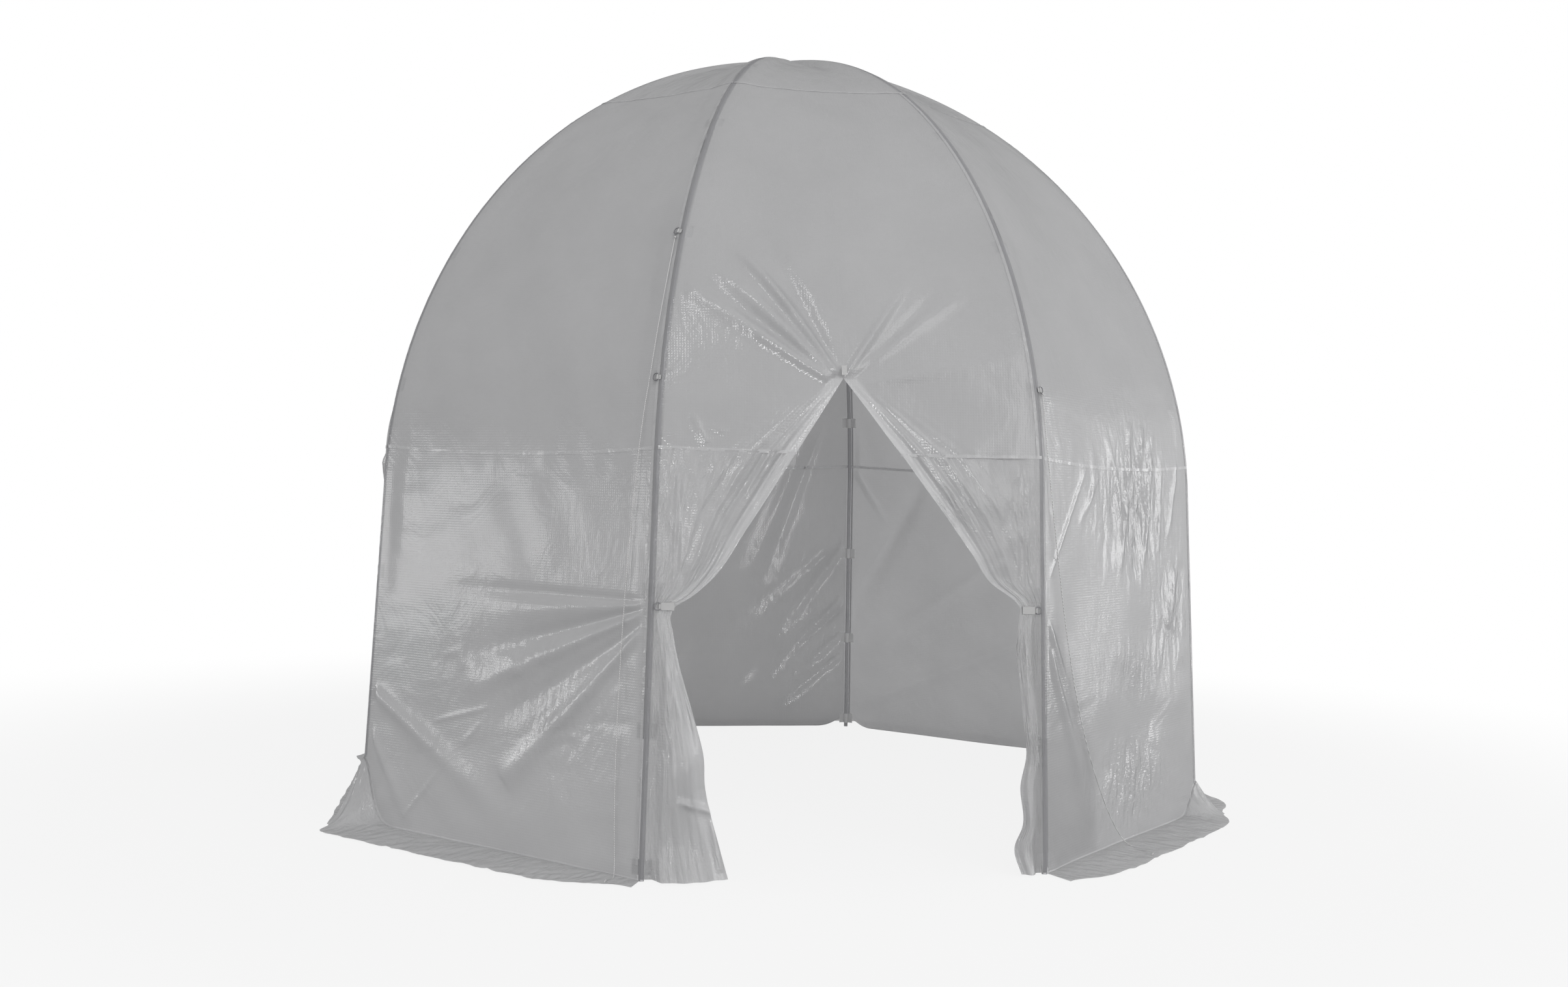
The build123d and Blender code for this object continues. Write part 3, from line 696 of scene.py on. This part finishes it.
# Crown: the tops of the eight gores, which meet over the hub. The tubes are nearly level there and
# the film is slack, so it stands up a little between them and one sharp crease runs forward.
CROWN_COLUMNS = 41
CROWN_ROWS = 72
CROWN_SAG = 0.016
CROWN_HILLS = 0.004
CROWN_FLAT = 1.6
CROWN_PUFFS = {"front_left": 0.006, "front_right": 0.008}
crown_cuts = []
crown_area = 0.0
top_lean = np.arccos(-BEND_CENTRE_RADIUS * SQUASH / (BEND_RADIUS * SQUASH + FILM_OFFSET))
top_length = LEG_LENGTH + BEND_RADIUS * (float(top_lean) - LEG_LEAN)
length = np.linspace(crown_length, top_length, CROWN_ROWS)[:, None]
share = spread(CROWN_COLUMNS)[None, :]
across = half_width(length) * share
for side, angle in SIDE_ANGLES.items():
    x, y = np.moveaxis(side_point(angle, across, length)[..., :2], -1, 0)
    out = np.hypot(x, y)
    free = (1 - share ** 2) * smooth_step((half_width(length) - np.abs(across) - STRAP_REACH) / 0.06)
    off_hub = smooth_step((out - 0.055) / 0.12)
    at_seam = film_lift(side, float(half_width(crown_length)) * share, crown_length)
    lift = at_seam * np.clip(out / 0.6, 0, 1)
    lift -= CROWN_SAG * free * off_hub * np.clip((0.95 - out) / 0.5, 0, 1)
    lift += CROWN_PUFFS.get(side, 0.0) * free * off_hub * np.exp(-((out - 0.20) / 0.12) ** 2)
    hills = CROWN_HILLS * free * off_hub * np.exp(-(out / 0.45) ** 2)
    lift += hills * smooth_noise(x, y, 0.16, 301)
    lift -= free * fold(x, y, (-0.01, -0.07), (0.10, -0.55), 0.012, 0.010, 0.024, 0.3, 0.7)
    points = side_point(angle, across, length, lift)
    crown_area += grid_area(points)
    creased = 0.2 + 0.3 * np.exp(-(out / 0.42) ** 2)
    crown_cuts.append((points, flat_place(across, length), creased, 0.0, film_backed(across, length)))
    crown_cuts.append(cross_weld(side, -0.995, 0.995, crown_length - 0.004, 0.012))
piece = sheet_mesh("film_crown", crown_cuts, film)
close_seams(piece)
declare_film(piece, "crown_panel", CROWN_FLAT, CROWN_FLAT, crown_area, "stretched", *pole_names, "hub")

# Walls: each gore runs on down to the ground and turns outward there into a skirt, 200 mm wide,
# that lies on the soil. At two corners the skirt was never pushed down and stands up as an ear.
SKIRT_WIDTH = 0.200
SKIRT_LIE = 0.004
SKIRT_ROWS = 22
SKIRT_WORKED = 0.9
SKIRT_CREASES = 0.0025
SKIRT_HILLS = 0.010
SEAM_REACH = 0.985
corner_ears = {"left_front": (0.25, 0.125, 0.11), "right_front": (0.13, 0.108, 0.20),
               "front_left": (0.0, 0.085, 0.30), "front_right": (0.0, 0.110, 0.20)}
SKIRT_WIDTHS = {"left": 0.110, "front_left": 0.222}
HIDDEN_EAR = (0.05, 0.150, 0.14)


def skirt_shape(side, share):
    """For each place across a side: the height at which its film leaves the wall, and how far the
    skirt reaches. Both change towards each corner as a bell, so that two sides meet at the pole."""
    rise = np.zeros_like(share)
    full = SKIRT_WIDTHS.get(side, SKIRT_WIDTH)
    reach = np.full_like(share, full)
    for pole, place in zip(poles_by_side[side], (-1, 1)):
        ear_rise, ear_reach, ear_width = corner_ears.get(pole, HIDDEN_EAR)
        near = np.exp(-((share - place) / ear_width) ** 2)
        rise += ear_rise * np.exp(-((share - place) / min(ear_width, 0.12)) ** 2)
        reach += (ear_reach - full) * near
    return rise, reach


for side, angle in SIDE_ANGLES.items():
    if side == "front":
        continue
    seed = side_seed(side)
    cell = CELLS.get(side, COARSE_CELL)
    share = spread(int(2 * float(half_width(0.7)) / cell))[None, :]
    rise, reach = skirt_shape(side, share)
    down = np.linspace(0, 1, int(seam_length / cell))[:, None]
    length = seam_length + (rise - seam_length) * down
    across = half_width(length) * share
    wall = side_point(angle, across, length, film_lift(side, across, length))
    out = np.linspace(0, 1, SKIRT_ROWS)[1:, None] * reach
    distance, height = side_profile(rise)[:2]
    distance = distance + film_lift(side, half_width(rise) * share, rise) * np.exp(-out / 0.04)
    skirt_across = share * (distance + out) * tan(HALF_ANGLE)
    slack = np.clip(out / 0.05, 0, 1) * (1 - share ** 8)
    ground = SKIRT_LIE + SKIRT_CREASES * slack * (1 + crumple(skirt_across, out, 0.06, seed + 41))
    ground += SKIRT_HILLS * slack * (1 - out / reach) * (
        1 + smooth_noise(skirt_across, out * 0.5, 0.14, seed + 42)) / 2
    skirt_height = height * (1 - out / reach) ** 1.5 + ground
    skirt_out = distance + out + 0.004 * slack * smooth_noise(skirt_across, out, 0.25, seed + 43)
    points = np.concatenate([wall, turned_out(angle, skirt_out, skirt_across, skirt_height)])
    points[..., 2] = np.maximum(points[..., 2], 0.002)
    grids = (points, np.concatenate([flat_place(across, length), flat_place(skirt_across, -out)]),
             np.concatenate([film_worked(side, across, length), SKIRT_WORKED + 0 * out]),
             0 * points[..., 0], np.concatenate([film_backed(across, length), 0 * out]))
    # The grid runs down the side, so its columns are turned round to face the film outward
    cuts = [tuple(grid[:, ::-1] for grid in grids), pole_weld(side, 0.05, seam_length),
            cross_weld(side, -SEAM_REACH, SEAM_REACH, seam_length, SEAM_SAG)]
    # The sides away from the front also get the weld on their inner face, painted whiter for the light
    # line it shows from inside
    if not side.startswith("front"):
        cuts.append(cross_weld(side, -SEAM_REACH, SEAM_REACH, seam_length, SEAM_SAG, -1))
    piece = sheet_mesh("film_wall_" + side, cuts, film)
    declare_film(piece, "wall_panel_" + side, 2 * float(half_width(0.0)) + 0.1,
                 seam_length + SKIRT_WIDTH, grid_area(points), "hung",
                 *["pole_" + pole for pole in poles_by_side[side]])

# Door flaps: the two halves of the front gore below the seam. Each is gathered at hip height, where
# a band ties it to its pole, and falls from there in folds: tight beside the pole, wider at the hem.
flap_edges = {
    -1: ((0.0, 0.11, 0.226, 0.31, 0.40, 0.50, 0.60, 0.70, 0.80, 0.855, 0.885, 0.915, 0.956, 1.148, 1.40),
         (-0.398, -0.430, -0.463, -0.480, -0.486, -0.512, -0.542, -0.572, -0.592, -0.600, -0.586,
          -0.537, -0.488, -0.352, -0.192)),
    1: ((0.0, 0.096, 0.16, 0.30, 0.40, 0.47, 0.571, 0.65, 0.75, 0.855, 0.885, 0.915, 0.973, 1.073,
         1.295, 1.40),
        (0.590, 0.568, 0.594, 0.588, 0.608, 0.603, 0.591, 0.580, 0.571, 0.577, 0.580, 0.562, 0.480,
         0.408, 0.245, 0.164)),
}


def through(x, places, values):
    """A smooth curve through given points: on each stretch a cubic whose slopes at both ends are
    those of the chord between the neighbours."""
    places, values = np.array(places), np.array(values)
    slopes = np.gradient(values, places)
    i = np.clip(np.searchsorted(places, x) - 1, 0, len(places) - 2)
    step = places[i + 1] - places[i]
    t = np.clip((x - places[i]) / step, 0, 1)
    return ((2 * t ** 3 - 3 * t ** 2 + 1) * values[i] + (t ** 3 - 2 * t ** 2 + t) * step * slopes[i]
            + (3 * t ** 2 - 2 * t ** 3) * values[i + 1] + (t ** 3 - t ** 2) * step * slopes[i + 1])


PLEAT_BANDS = {-1: 0.085, 1: 0.060}
PLEAT_DEPTHS = {-1: 0.0022, 1: 0.0010}
FAN_DEPTHS = {-1: 0.0045, 1: 0.0025}
SWELL_DEPTHS = {-1: 0.040, 1: 0.018}


def flap_pleats(turn, height, from_pole, from_edge):
    """How far the flap below its tie stands off the front: dense pleats beside the pole, a broad
    smooth swell beyond them, and soft folds that fan out from the tie."""
    seed = 700 + turn
    below = np.clip(TIE_HEIGHT - height, 0, TIE_HEIGHT)
    span = from_pole + from_edge
    opened = smooth_step(below / 0.16)
    drift = 0.010 * smooth_noise(from_pole * 0.4, height * 0.55, 0.30, seed)
    dense = np.exp(-(from_pole / PLEAT_BANDS[turn]) ** 4)
    pleats = np.sin(2 * pi * (from_pole + drift) / 0.021)
    pleats += 0.45 * np.sin(2 * pi * (from_pole - drift) / 0.0125)
    lift = PLEAT_DEPTHS[turn] * opened * dense * pleats
    along = from_pole / np.maximum(span, 0.05)
    fan = np.sin(2 * pi * (3.4 * along ** 1.3 + 0.12 * smooth_noise(along, height * 0.6, 0.7, seed + 1)))
    fan = fan * np.clip(1.25 - height / 1.2, 0.3, 1)
    lift += FAN_DEPTHS[turn] * (opened + 0.2) * (1 - dense) * fan
    swell = np.sin(pi * np.clip(along, 0, 1)) * smooth_step(below / 0.5)
    lift += SWELL_DEPTHS[turn] * swell
    if turn == -1:
        lift += folds(from_pole - 0.735, height, (
            (-0.63, 0.26, -0.49, 0.215, 0.014, 0.010, 0.012),
            (-0.52, 0.25, -0.475, 0.03, 0.014, 0.010, 0.016),
            (-0.62, 0.80, -0.55, 0.30, 0.010, 0.008, 0.020),
        ))
    return lift


tucked_edge = ((0.0, 0.125, 0.35, 0.571, 0.661, 0.821, 0.906, 0.95),
               (0.43, 0.425, 0.37, 0.285, 0.235, 0.095, 0.045, 0.04))
FLAP_COLUMNS = 230
FLAP_ROWS = 240
FLAP_FLAT = 0.68
FLAP_WIDTH = 0.74
GATHER_DEPTH = 0.0012
HEM_FLARE = 0.045
flap_names = {-1: "left", 1: "right"}


def tucked_part(front_points, height, length):
    """The rest of the right flap, which is folded back inside its pole and lies behind the wall beside
    it. On each row it is a curve through three points: the fold in the doorway, a point inside the
    pole and its free edge, which runs down and away from the tie in a long arc."""
    rows = np.flatnonzero(height[:, 0] < TIE_HEIGHT + 0.015)
    run = length[rows]
    start = front_points[rows, -1:]
    angle = SIDE_ANGLES["front_right"]
    corner = side_point(angle, -half_width(run), run, -0.050)
    end = side_point(angle, through(run, *tucked_edge) - half_width(run), run, -0.022)
    t = np.linspace(0, 1, 90)[None, :]
    opened = smooth_step((TIE_HEIGHT + 0.015 - run) / 0.3)
    pleat = 0.006 * opened * np.sin(2 * pi * (5 * t ** 1.2 + 0.2 * smooth_noise(t, run * 0.6, 0.8, 731)))
    pleat = (pleat * np.sin(pi * t))[..., None]
    blank = 0 * pleat[..., 0]
    hem = np.where(t > 0.95, HEM_CLOUD, 0.0) + blank
    uv = flat_place(FLAP_FLAT + 0.4 * t, run)
    t = t[..., None]
    points = (1 - t) ** 2 * start + 2 * t * (1 - t) * corner + t ** 2 * end
    points += pleat * np.array([-sin(HALF_ANGLE), cos(HALF_ANGLE), 0.0])
    return points, uv, blank + 0.3, hem, blank


length = np.linspace(seam_length, float(length_at(0.006)), FLAP_ROWS)[:, None]
height = side_profile(length)[1]
share = np.linspace(0, 1, FLAP_COLUMNS)[None, :]
for turn, flap_name in flap_names.items():
    seed = 600 + turn
    pole = turn * half_width(length)
    edge = through(height, *flap_edges[turn])
    across = pole + (edge - pole) * share
    from_pole, from_edge = np.abs(across - pole), np.abs(edge - across)
    above_tie = smooth_step((height - TIE_HEIGHT + 0.02) / 0.04)
    near_seam = smooth_step((height - 1.02) / 0.36)
    plain = film_lift("front", across, length) * near_seam
    corner = CORNER_DROP * np.clip(1 - from_pole / CORNER_WIDTH, 0, 1) ** 2
    free = smooth_step((from_pole - STRAP_REACH) / 0.03)
    lift = plain - corner * (1 - near_seam)
    lift += above_tie * slit_curl(SLIT_SLANT * from_edge, height) * free
    lift += (1 - above_tie) * flap_pleats(turn, height, from_pole, from_edge) * free
    waist = 1 - 0.8 * np.exp(-((height - TIE_HEIGHT) / 0.10) ** 2)
    lift += 0.005 * free * waist * smooth_noise(across, height, 0.30, seed)
    lift += 0.0015 * free * waist * crumple(across, height * 0.5, 0.06, seed + 1)
    gather = np.exp(-(from_pole - 0.07) ** 2 / 0.03 ** 2) * smooth_step((height - 0.90) / 0.1)
    gather = gather * smooth_step((1.42 - height) / 0.2)
    lift += GATHER_DEPTH * free * gather * np.sin(2 * pi * from_pole / 0.022)
    flare = np.clip(1 - height / 0.14, 0, 1) ** 2
    lift += flare * HEM_FLARE * free * (1 - 0.6 * share)
    points = side_point(SIDE_ANGLES["front"], across, length, lift)
    points[..., 2] = np.maximum(points[..., 2], 0.003)
    creased = 0.28 + 0.22 * smooth_noise(across, height, 0.3, seed + 2)
    hem = HEM_CLOUD * (1 - smooth_step((SLIT_SLANT * from_edge - HEM_WIDTH) / 0.010))
    grids = (points, flat_place(turn * share * FLAP_FLAT, length), creased, hem,
             film_backed(across, length))
    cuts = [tuple(grid[:, ::turn] for grid in grids)]
    if turn == 1:
        cuts.append(tucked_part(points, height, length))
    piece = sheet_mesh("film_flap_" + flap_name, cuts, film)
    declare_film(piece, "door_flap_" + flap_name, FLAP_WIDTH, seam_length,
                 sum(grid_area(cut[0]) for cut in cuts), "gathered", "pole_front_" + flap_name,
                 "tie_band_" + flap_name)

# Webbing: woven polyester tape in a plain ribbed weave. The loops that are sewn under the cover and
# hold it to the poles are white. The loops of the rings, the bands that tie the flaps and the stop at
# the top of the slit are grey.
TAPE_RIB = 0.0016
TAPE_THREAD = 0.0008


def webbing(name, dark, light):
    """Ribbed polyester tape whose ribs run across it, in two tones of one colour."""
    tape = new_material(name)
    place = add_node(tape, "TexCoord").outputs["Object"]
    ribs = add_node(tape, "TexWave",
                    {"Vector": place, "Scale": pi / (10 * TAPE_RIB), "Distortion": 0.4},
                    wave_type="BANDS", bands_direction="Z").outputs["Fac"]
    fibres = add_node(tape, "TexNoise", {"Vector": place, "Scale": 1 / TAPE_THREAD, "Detail": 2.0})
    height = add_node(tape, "Math", {0: ribs, 1: fibres}, operation="ADD")
    bump = add_node(tape, "Bump", {"Height": height, "Strength": 0.6, "Distance": 0.0005})
    colour = add_node(tape, "Mix", {0: ribs, 6: linear(dark), 7: linear(light)}, data_type="RGBA")
    weave = add_node(tape, "BsdfPrincipled",
                     {"Base Color": colour.outputs[2], "Roughness": 0.75, "Normal": bump})
    add_node(tape, "OutputMaterial", {"Surface": weave})
    return tape


strap_names = [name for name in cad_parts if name.startswith("straps_")]
dress_nodes(webbing("White polyester webbing", "DCDCDC", "EEEEEE"), *strap_names)
dress_nodes(webbing("Grey polyester webbing", "A0A0A0", "B0B0B0"),
            "guy_ring_loops", "tie_band_left", "tie_band_right", "slit_patch")

# Rings: bent steel wire with a satin zinc finish gone dull. Three D-rings hang in loops that are sewn to
# the cover over the front poles, and two smaller ones hold the bands that tie the flaps.
plated_wire = new_material("Plated steel wire")
place = add_node(plated_wire, "TexCoord").outputs["Object"]
dull = add_node(plated_wire, "TexNoise", {"Vector": place, "Scale": 400.0, "Detail": 3.0})
dull_rough = add_node(plated_wire, "MapRange", {"Value": dull, "To Min": 0.3, "To Max": 0.5})
wire = add_node(plated_wire, "BsdfPrincipled",
                {"Base Color": linear("77777A"), "Metallic": 0.85, "Roughness": dull_rough})
add_node(plated_wire, "OutputMaterial", {"Surface": wire})
dress_nodes(plated_wire, "guy_rings", "tie_ring_left", "tie_ring_right")

# Guy cords: 3 mm braided polypropylene, tied to a ring with a small knot and knotted at the end. One
# hangs beside the left front pole, the other runs across the wall right of the door to its skirt.
CORD_DIAMETER = 0.003
BRAID_PITCH = 0.004
cord_routes = {
    "left": (2.226, (
        (-593, -1369, 2121), (-605, -1396, 2062), (-622, -1431, 1976), (-641, -1466, 1875),
        (-660, -1495, 1765), (-677, -1518, 1650), (-697, -1531, 1525), (-712, -1539, 1392),
        (-724, -1538, 1244), (-735, -1538, 1103), (-744, -1539, 960), (-751, -1540, 818),
        (-756, -1542, 700), (-760, -1545, 590), (-763, -1548, 480), (-765, -1552, 365),
        (-766, -1560, 250), (-765, -1567, 150), (-763, -1575, 70), (-763, -1587, 20),
        (-766, -1612, 5.5), (-777, -1640, 5), (-796, -1662, 5))),
    "right": (1.887, (
        (664, -1545, 1620), (667, -1554, 1570), (671, -1563, 1507), (677, -1568, 1440),
        (686, -1569, 1368), (697, -1565, 1290), (710, -1558, 1205), (727, -1547, 1105),
        (747, -1535, 990), (767, -1522, 880), (790, -1507, 770), (817, -1487, 655),
        (850, -1461, 540), (888, -1430, 430), (931, -1393, 325), (979, -1351, 226),
        (1030, -1305, 137), (1078, -1264, 66), (1112, -1266, 18), (1132, -1300, 6),
        (1141, -1345, 5), (1143, -1385, 5), (1156, -1416, 5))),
}
braid = new_material("Braided polypropylene")
place = add_node(braid, "TexCoord").outputs["Object"]
strands = add_node(braid, "TexWave",
                   {"Vector": place, "Scale": pi / (10 * BRAID_PITCH), "Distortion": 1.5, "Detail": 1.0},
                   wave_type="BANDS", bands_direction="DIAGONAL").outputs["Fac"]
strand_bump = add_node(braid, "Bump", {"Height": strands, "Strength": 0.7, "Distance": 0.0006})
strand_colour = add_node(braid, "Mix", {0: strands, 6: linear("9A9A9A"), 7: linear("C4C4C4")},
                         data_type="RGBA")
cord_skin = add_node(braid, "BsdfPrincipled",
                     {"Base Color": strand_colour.outputs[2], "Roughness": 0.6, "Normal": strand_bump})
add_node(braid, "OutputMaterial", {"Surface": cord_skin})


KNOT_SIZE = 0.011
KNOT_STEPS = 72
KNOT_SIDES = 10


def knot(name, centre, turn):
    """A tight overhand knot: a tube along a trefoil, x = sin t + 2 sin 2t, y = cos t - 2 cos 2t,
    z = -1.2 sin 3t, scaled to a size and turned about the upright."""
    t = np.linspace(0, 2 * pi, KNOT_STEPS, endpoint=False)
    path = np.stack([np.sin(t) + 2 * np.sin(2 * t), np.cos(t) - 2 * np.cos(2 * t), -1.2 * np.sin(3 * t)],
                    axis=-1) * KNOT_SIZE / 6
    along = np.roll(path, -1, axis=0) - np.roll(path, 1, axis=0)
    along /= np.linalg.norm(along, axis=1)[:, None]
    beside = np.cross(along, (0.0, 0.0, 1.0))
    beside /= np.linalg.norm(beside, axis=1)[:, None]
    upward = np.cross(beside, along)
    round_tube = np.linspace(0, 2 * pi, KNOT_SIDES, endpoint=False)[None, :, None]
    ring = np.cos(round_tube) * beside[:, None] + np.sin(round_tube) * upward[:, None]
    x, y, z = np.moveaxis(path[:, None] + CORD_DIAMETER / 2 * ring, -1, 0)
    points = np.stack([z, x * cos(turn) - y * sin(turn), x * sin(turn) + y * cos(turn)], -1) + centre
    index = np.arange(KNOT_STEPS * KNOT_SIDES).reshape(KNOT_STEPS, KNOT_SIDES)
    next_step = np.roll(index, -1, axis=0)
    faces = np.stack([index, next_step, np.roll(next_step, -1, axis=1), np.roll(index, -1, axis=1)], -1)
    mesh = bpy.data.meshes.new(name)
    mesh.from_pydata(points.reshape(-1, 3).tolist(), [], faces.reshape(-1, 4).tolist())
    mesh.polygons.foreach_set("use_smooth", np.ones(len(mesh.polygons), bool))
    mesh.materials.append(braid)
    piece = add_object(name, mesh)
    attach(piece, "root")
    return piece


for place, (cord_length, route) in cord_routes.items():
    curve = bpy.data.curves.new("guy_cord_line_" + place, "CURVE")
    curve.dimensions = "3D"
    curve.bevel_depth = CORD_DIAMETER / 2
    curve.bevel_resolution = 3
    curve.resolution_u = 12
    spline = curve.splines.new("NURBS")
    spline.points.add(len(route) - 1)
    for point, (x, y, z) in zip(spline.points, route):
        point.co = (x / 1000, y / 1000, z / 1000, 1)
    spline.order_u = 3
    spline.use_endpoint_u = True
    curve.materials.append(braid)
    cord = add_object("guy_cord_line_" + place, curve)
    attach(cord, "root")
    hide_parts("guy_cord_" + place)
    start, end = np.array(route[0]) / 1000, np.array(route[-1]) / 1000
    top_knot = knot("guy_knot_top_" + place, start, 0.4)
    end_knot = knot("guy_knot_end_" + place, end + (0, 0, 0.002), 1.1)

# Floor: plain and pale. Towards its rim it fades into the white background, for the camera and, half
# as strongly, for what the film mirrors and lets through. It keeps the greenhouse's shadow.
FLOOR_RADIUS = 40
floor_mesh = bpy.data.meshes.new("floor")
rim = np.linspace(0, 2 * pi, 96, endpoint=False)
floor_mesh.from_pydata((FLOOR_RADIUS * np.stack([np.cos(rim), np.sin(rim), 0 * rim], -1)).tolist(), [],
                       [list(range(96))])
floor = add_object("floor", floor_mesh)
pale_floor = new_material("Pale floor")
place = add_node(pale_floor, "TexCoord").outputs["Object"]
from_middle = add_node(pale_floor, "VectorMath", {0: place}, operation="LENGTH").outputs["Value"]
fade = add_node(pale_floor, "MapRange", {"Value": from_middle, "From Min": 2.6, "From Max": 6.0,
                                         "To Min": 0.86, "To Max": 1.0},
                interpolation_type="SMOOTHSTEP")
rays = add_node(pale_floor, "LightPath").outputs
mirrored = add_node(pale_floor, "Math", {0: rays["Is Glossy Ray"], 1: rays["Is Transmission Ray"]},
                    operation="MAXIMUM")
seen_through = add_node(pale_floor, "Math", {0: mirrored, 1: 0.5}, operation="MULTIPLY")
seen = add_node(pale_floor, "Math", {0: rays["Is Camera Ray"], 1: seen_through}, operation="MAXIMUM")
share_white = add_node(pale_floor, "Math", {0: fade, 1: seen}, operation="MULTIPLY")
matt = add_node(pale_floor, "BsdfDiffuse", {"Color": linear("A2A2A2")})
white = add_node(pale_floor, "Emission", {"Color": linear("FFFFFF"), "Strength": 1.0})
floor_surface = add_node(pale_floor, "MixShader", {"Fac": share_white, 1: matt, 2: white})
add_node(pale_floor, "OutputMaterial", {"Surface": floor_surface})
floor_mesh.materials.append(pale_floor)

# Light: a soft studio sky that is brighter on the camera's side, white where the camera sees it, and
# soft boxes whose reflections lie on the film as broad glows and, from the narrow ones, as sparkles
SKY_AHEAD = 1.36
SKY_BEHIND = 0.42
BRIGHT_SIDE = (0.30, -0.95, 0.0)
world = bpy.data.worlds.new("Studio")
bpy.context.scene.world = world
world.use_nodes = True
world.node_tree.nodes.clear()
sky_place = add_node(world, "TexCoord").outputs["Generated"]
to_front = add_node(world, "VectorMath", {0: sky_place, 1: BRIGHT_SIDE}, operation="DOT_PRODUCT")
sky_strength = add_node(world, "MapRange",
                        {"Value": to_front.outputs["Value"], "From Min": -1.0, "From Max": 1.0,
                         "To Min": SKY_BEHIND, "To Max": SKY_AHEAD})
sky = add_node(world, "Background", {"Color": linear("FFFFFF"), "Strength": sky_strength})
backdrop = add_node(world, "Background", {"Color": linear("FFFFFF"), "Strength": 1.0})
for_camera = add_node(world, "LightPath").outputs["Is Camera Ray"]
sky_mix = add_node(world, "MixShader", {"Fac": for_camera, 1: sky, 2: backdrop})
add_node(world, "OutputWorld", {"Surface": sky_mix})


def soft_box(name, place, target, width, height, watts):
    """A rectangular lamp at a place that faces a target, in metres."""
    lamp = bpy.data.lights.new(name, "AREA")
    lamp.shape = "RECTANGLE"
    lamp.size, lamp.size_y, lamp.energy = width, height, watts
    piece = add_object(name, lamp)
    piece.location = place
    aim = Vector(target) - Vector(place)
    piece.rotation_euler = aim.to_track_quat("-Z", "Y").to_euler()


soft_box("ridge_box", (-1.2, -7.2, 5.6), (-0.3, -1.5, 1.9), 1.0, 1.4, 45)
soft_box("front_high_box", (4.2, -7.8, 4.4), (0.5, -1.5, 1.6), 2.2, 4.4, 75)
soft_box("front_box", (3.2, -8.6, 2.4), (0.3, -1.0, 1.2), 1.8, 2.4, 20)
soft_box("door_box", (-0.5, -9.2, 1.3), (0.4, 1.6, 0.5), 1.4, 1.2, 90)
soft_box("left_box", (-7.5, -0.4, 1.15), (-1.2, -1.0, 1.1), 2.0, 1.3, 40)
soft_box("left_far_box", (-7.1, 1.5, 1.3), (-1.0, -1.3, 0.6), 0.8, 1.6, 36)
soft_box("right_box", (7.4, 1.7, 1.5), (1.2, -1.0, 1.2), 3.2, 3.0, 20)
soft_box("right_side_box", (6.7, -0.9, 1.5), (1.2, -1.0, 1.0), 2.0, 2.8, 115)

# Camera: it stands where the camera of the photograph stood, as worked out from the places of the
# poles, seams and ground points in it.
PHOTO_WIDTH = 2408
FOCAL_PIXELS = 2446
CAMERA_PLACE = (-1.107, -6.779, 1.282)
CAMERA_YAW = radians(9.56)
CAMERA_PITCH = radians(-0.23)
CAMERA_ROLL = radians(1.36)
camera_data = bpy.data.cameras.new("camera")
camera_data.sensor_width = 36.0
camera_data.lens = camera_data.sensor_width * FOCAL_PIXELS / PHOTO_WIDTH
camera_data.clip_end = 200.0
camera = add_object("camera", camera_data)
forward = Vector((sin(CAMERA_YAW) * cos(CAMERA_PITCH), cos(CAMERA_YAW) * cos(CAMERA_PITCH),
                  sin(CAMERA_PITCH)))
level_right = Vector((cos(CAMERA_YAW), -sin(CAMERA_YAW), 0.0))
level_up = level_right.cross(forward)
right = level_right * cos(CAMERA_ROLL) + level_up * sin(CAMERA_ROLL)
up = level_up * cos(CAMERA_ROLL) - level_right * sin(CAMERA_ROLL)
turned = Matrix((right, up, -forward)).transposed().to_4x4()
camera.matrix_world = Matrix.Translation(CAMERA_PLACE) @ turned
bpy.context.scene.camera = camera
bpy.context.scene.view_settings.view_transform = "Standard"
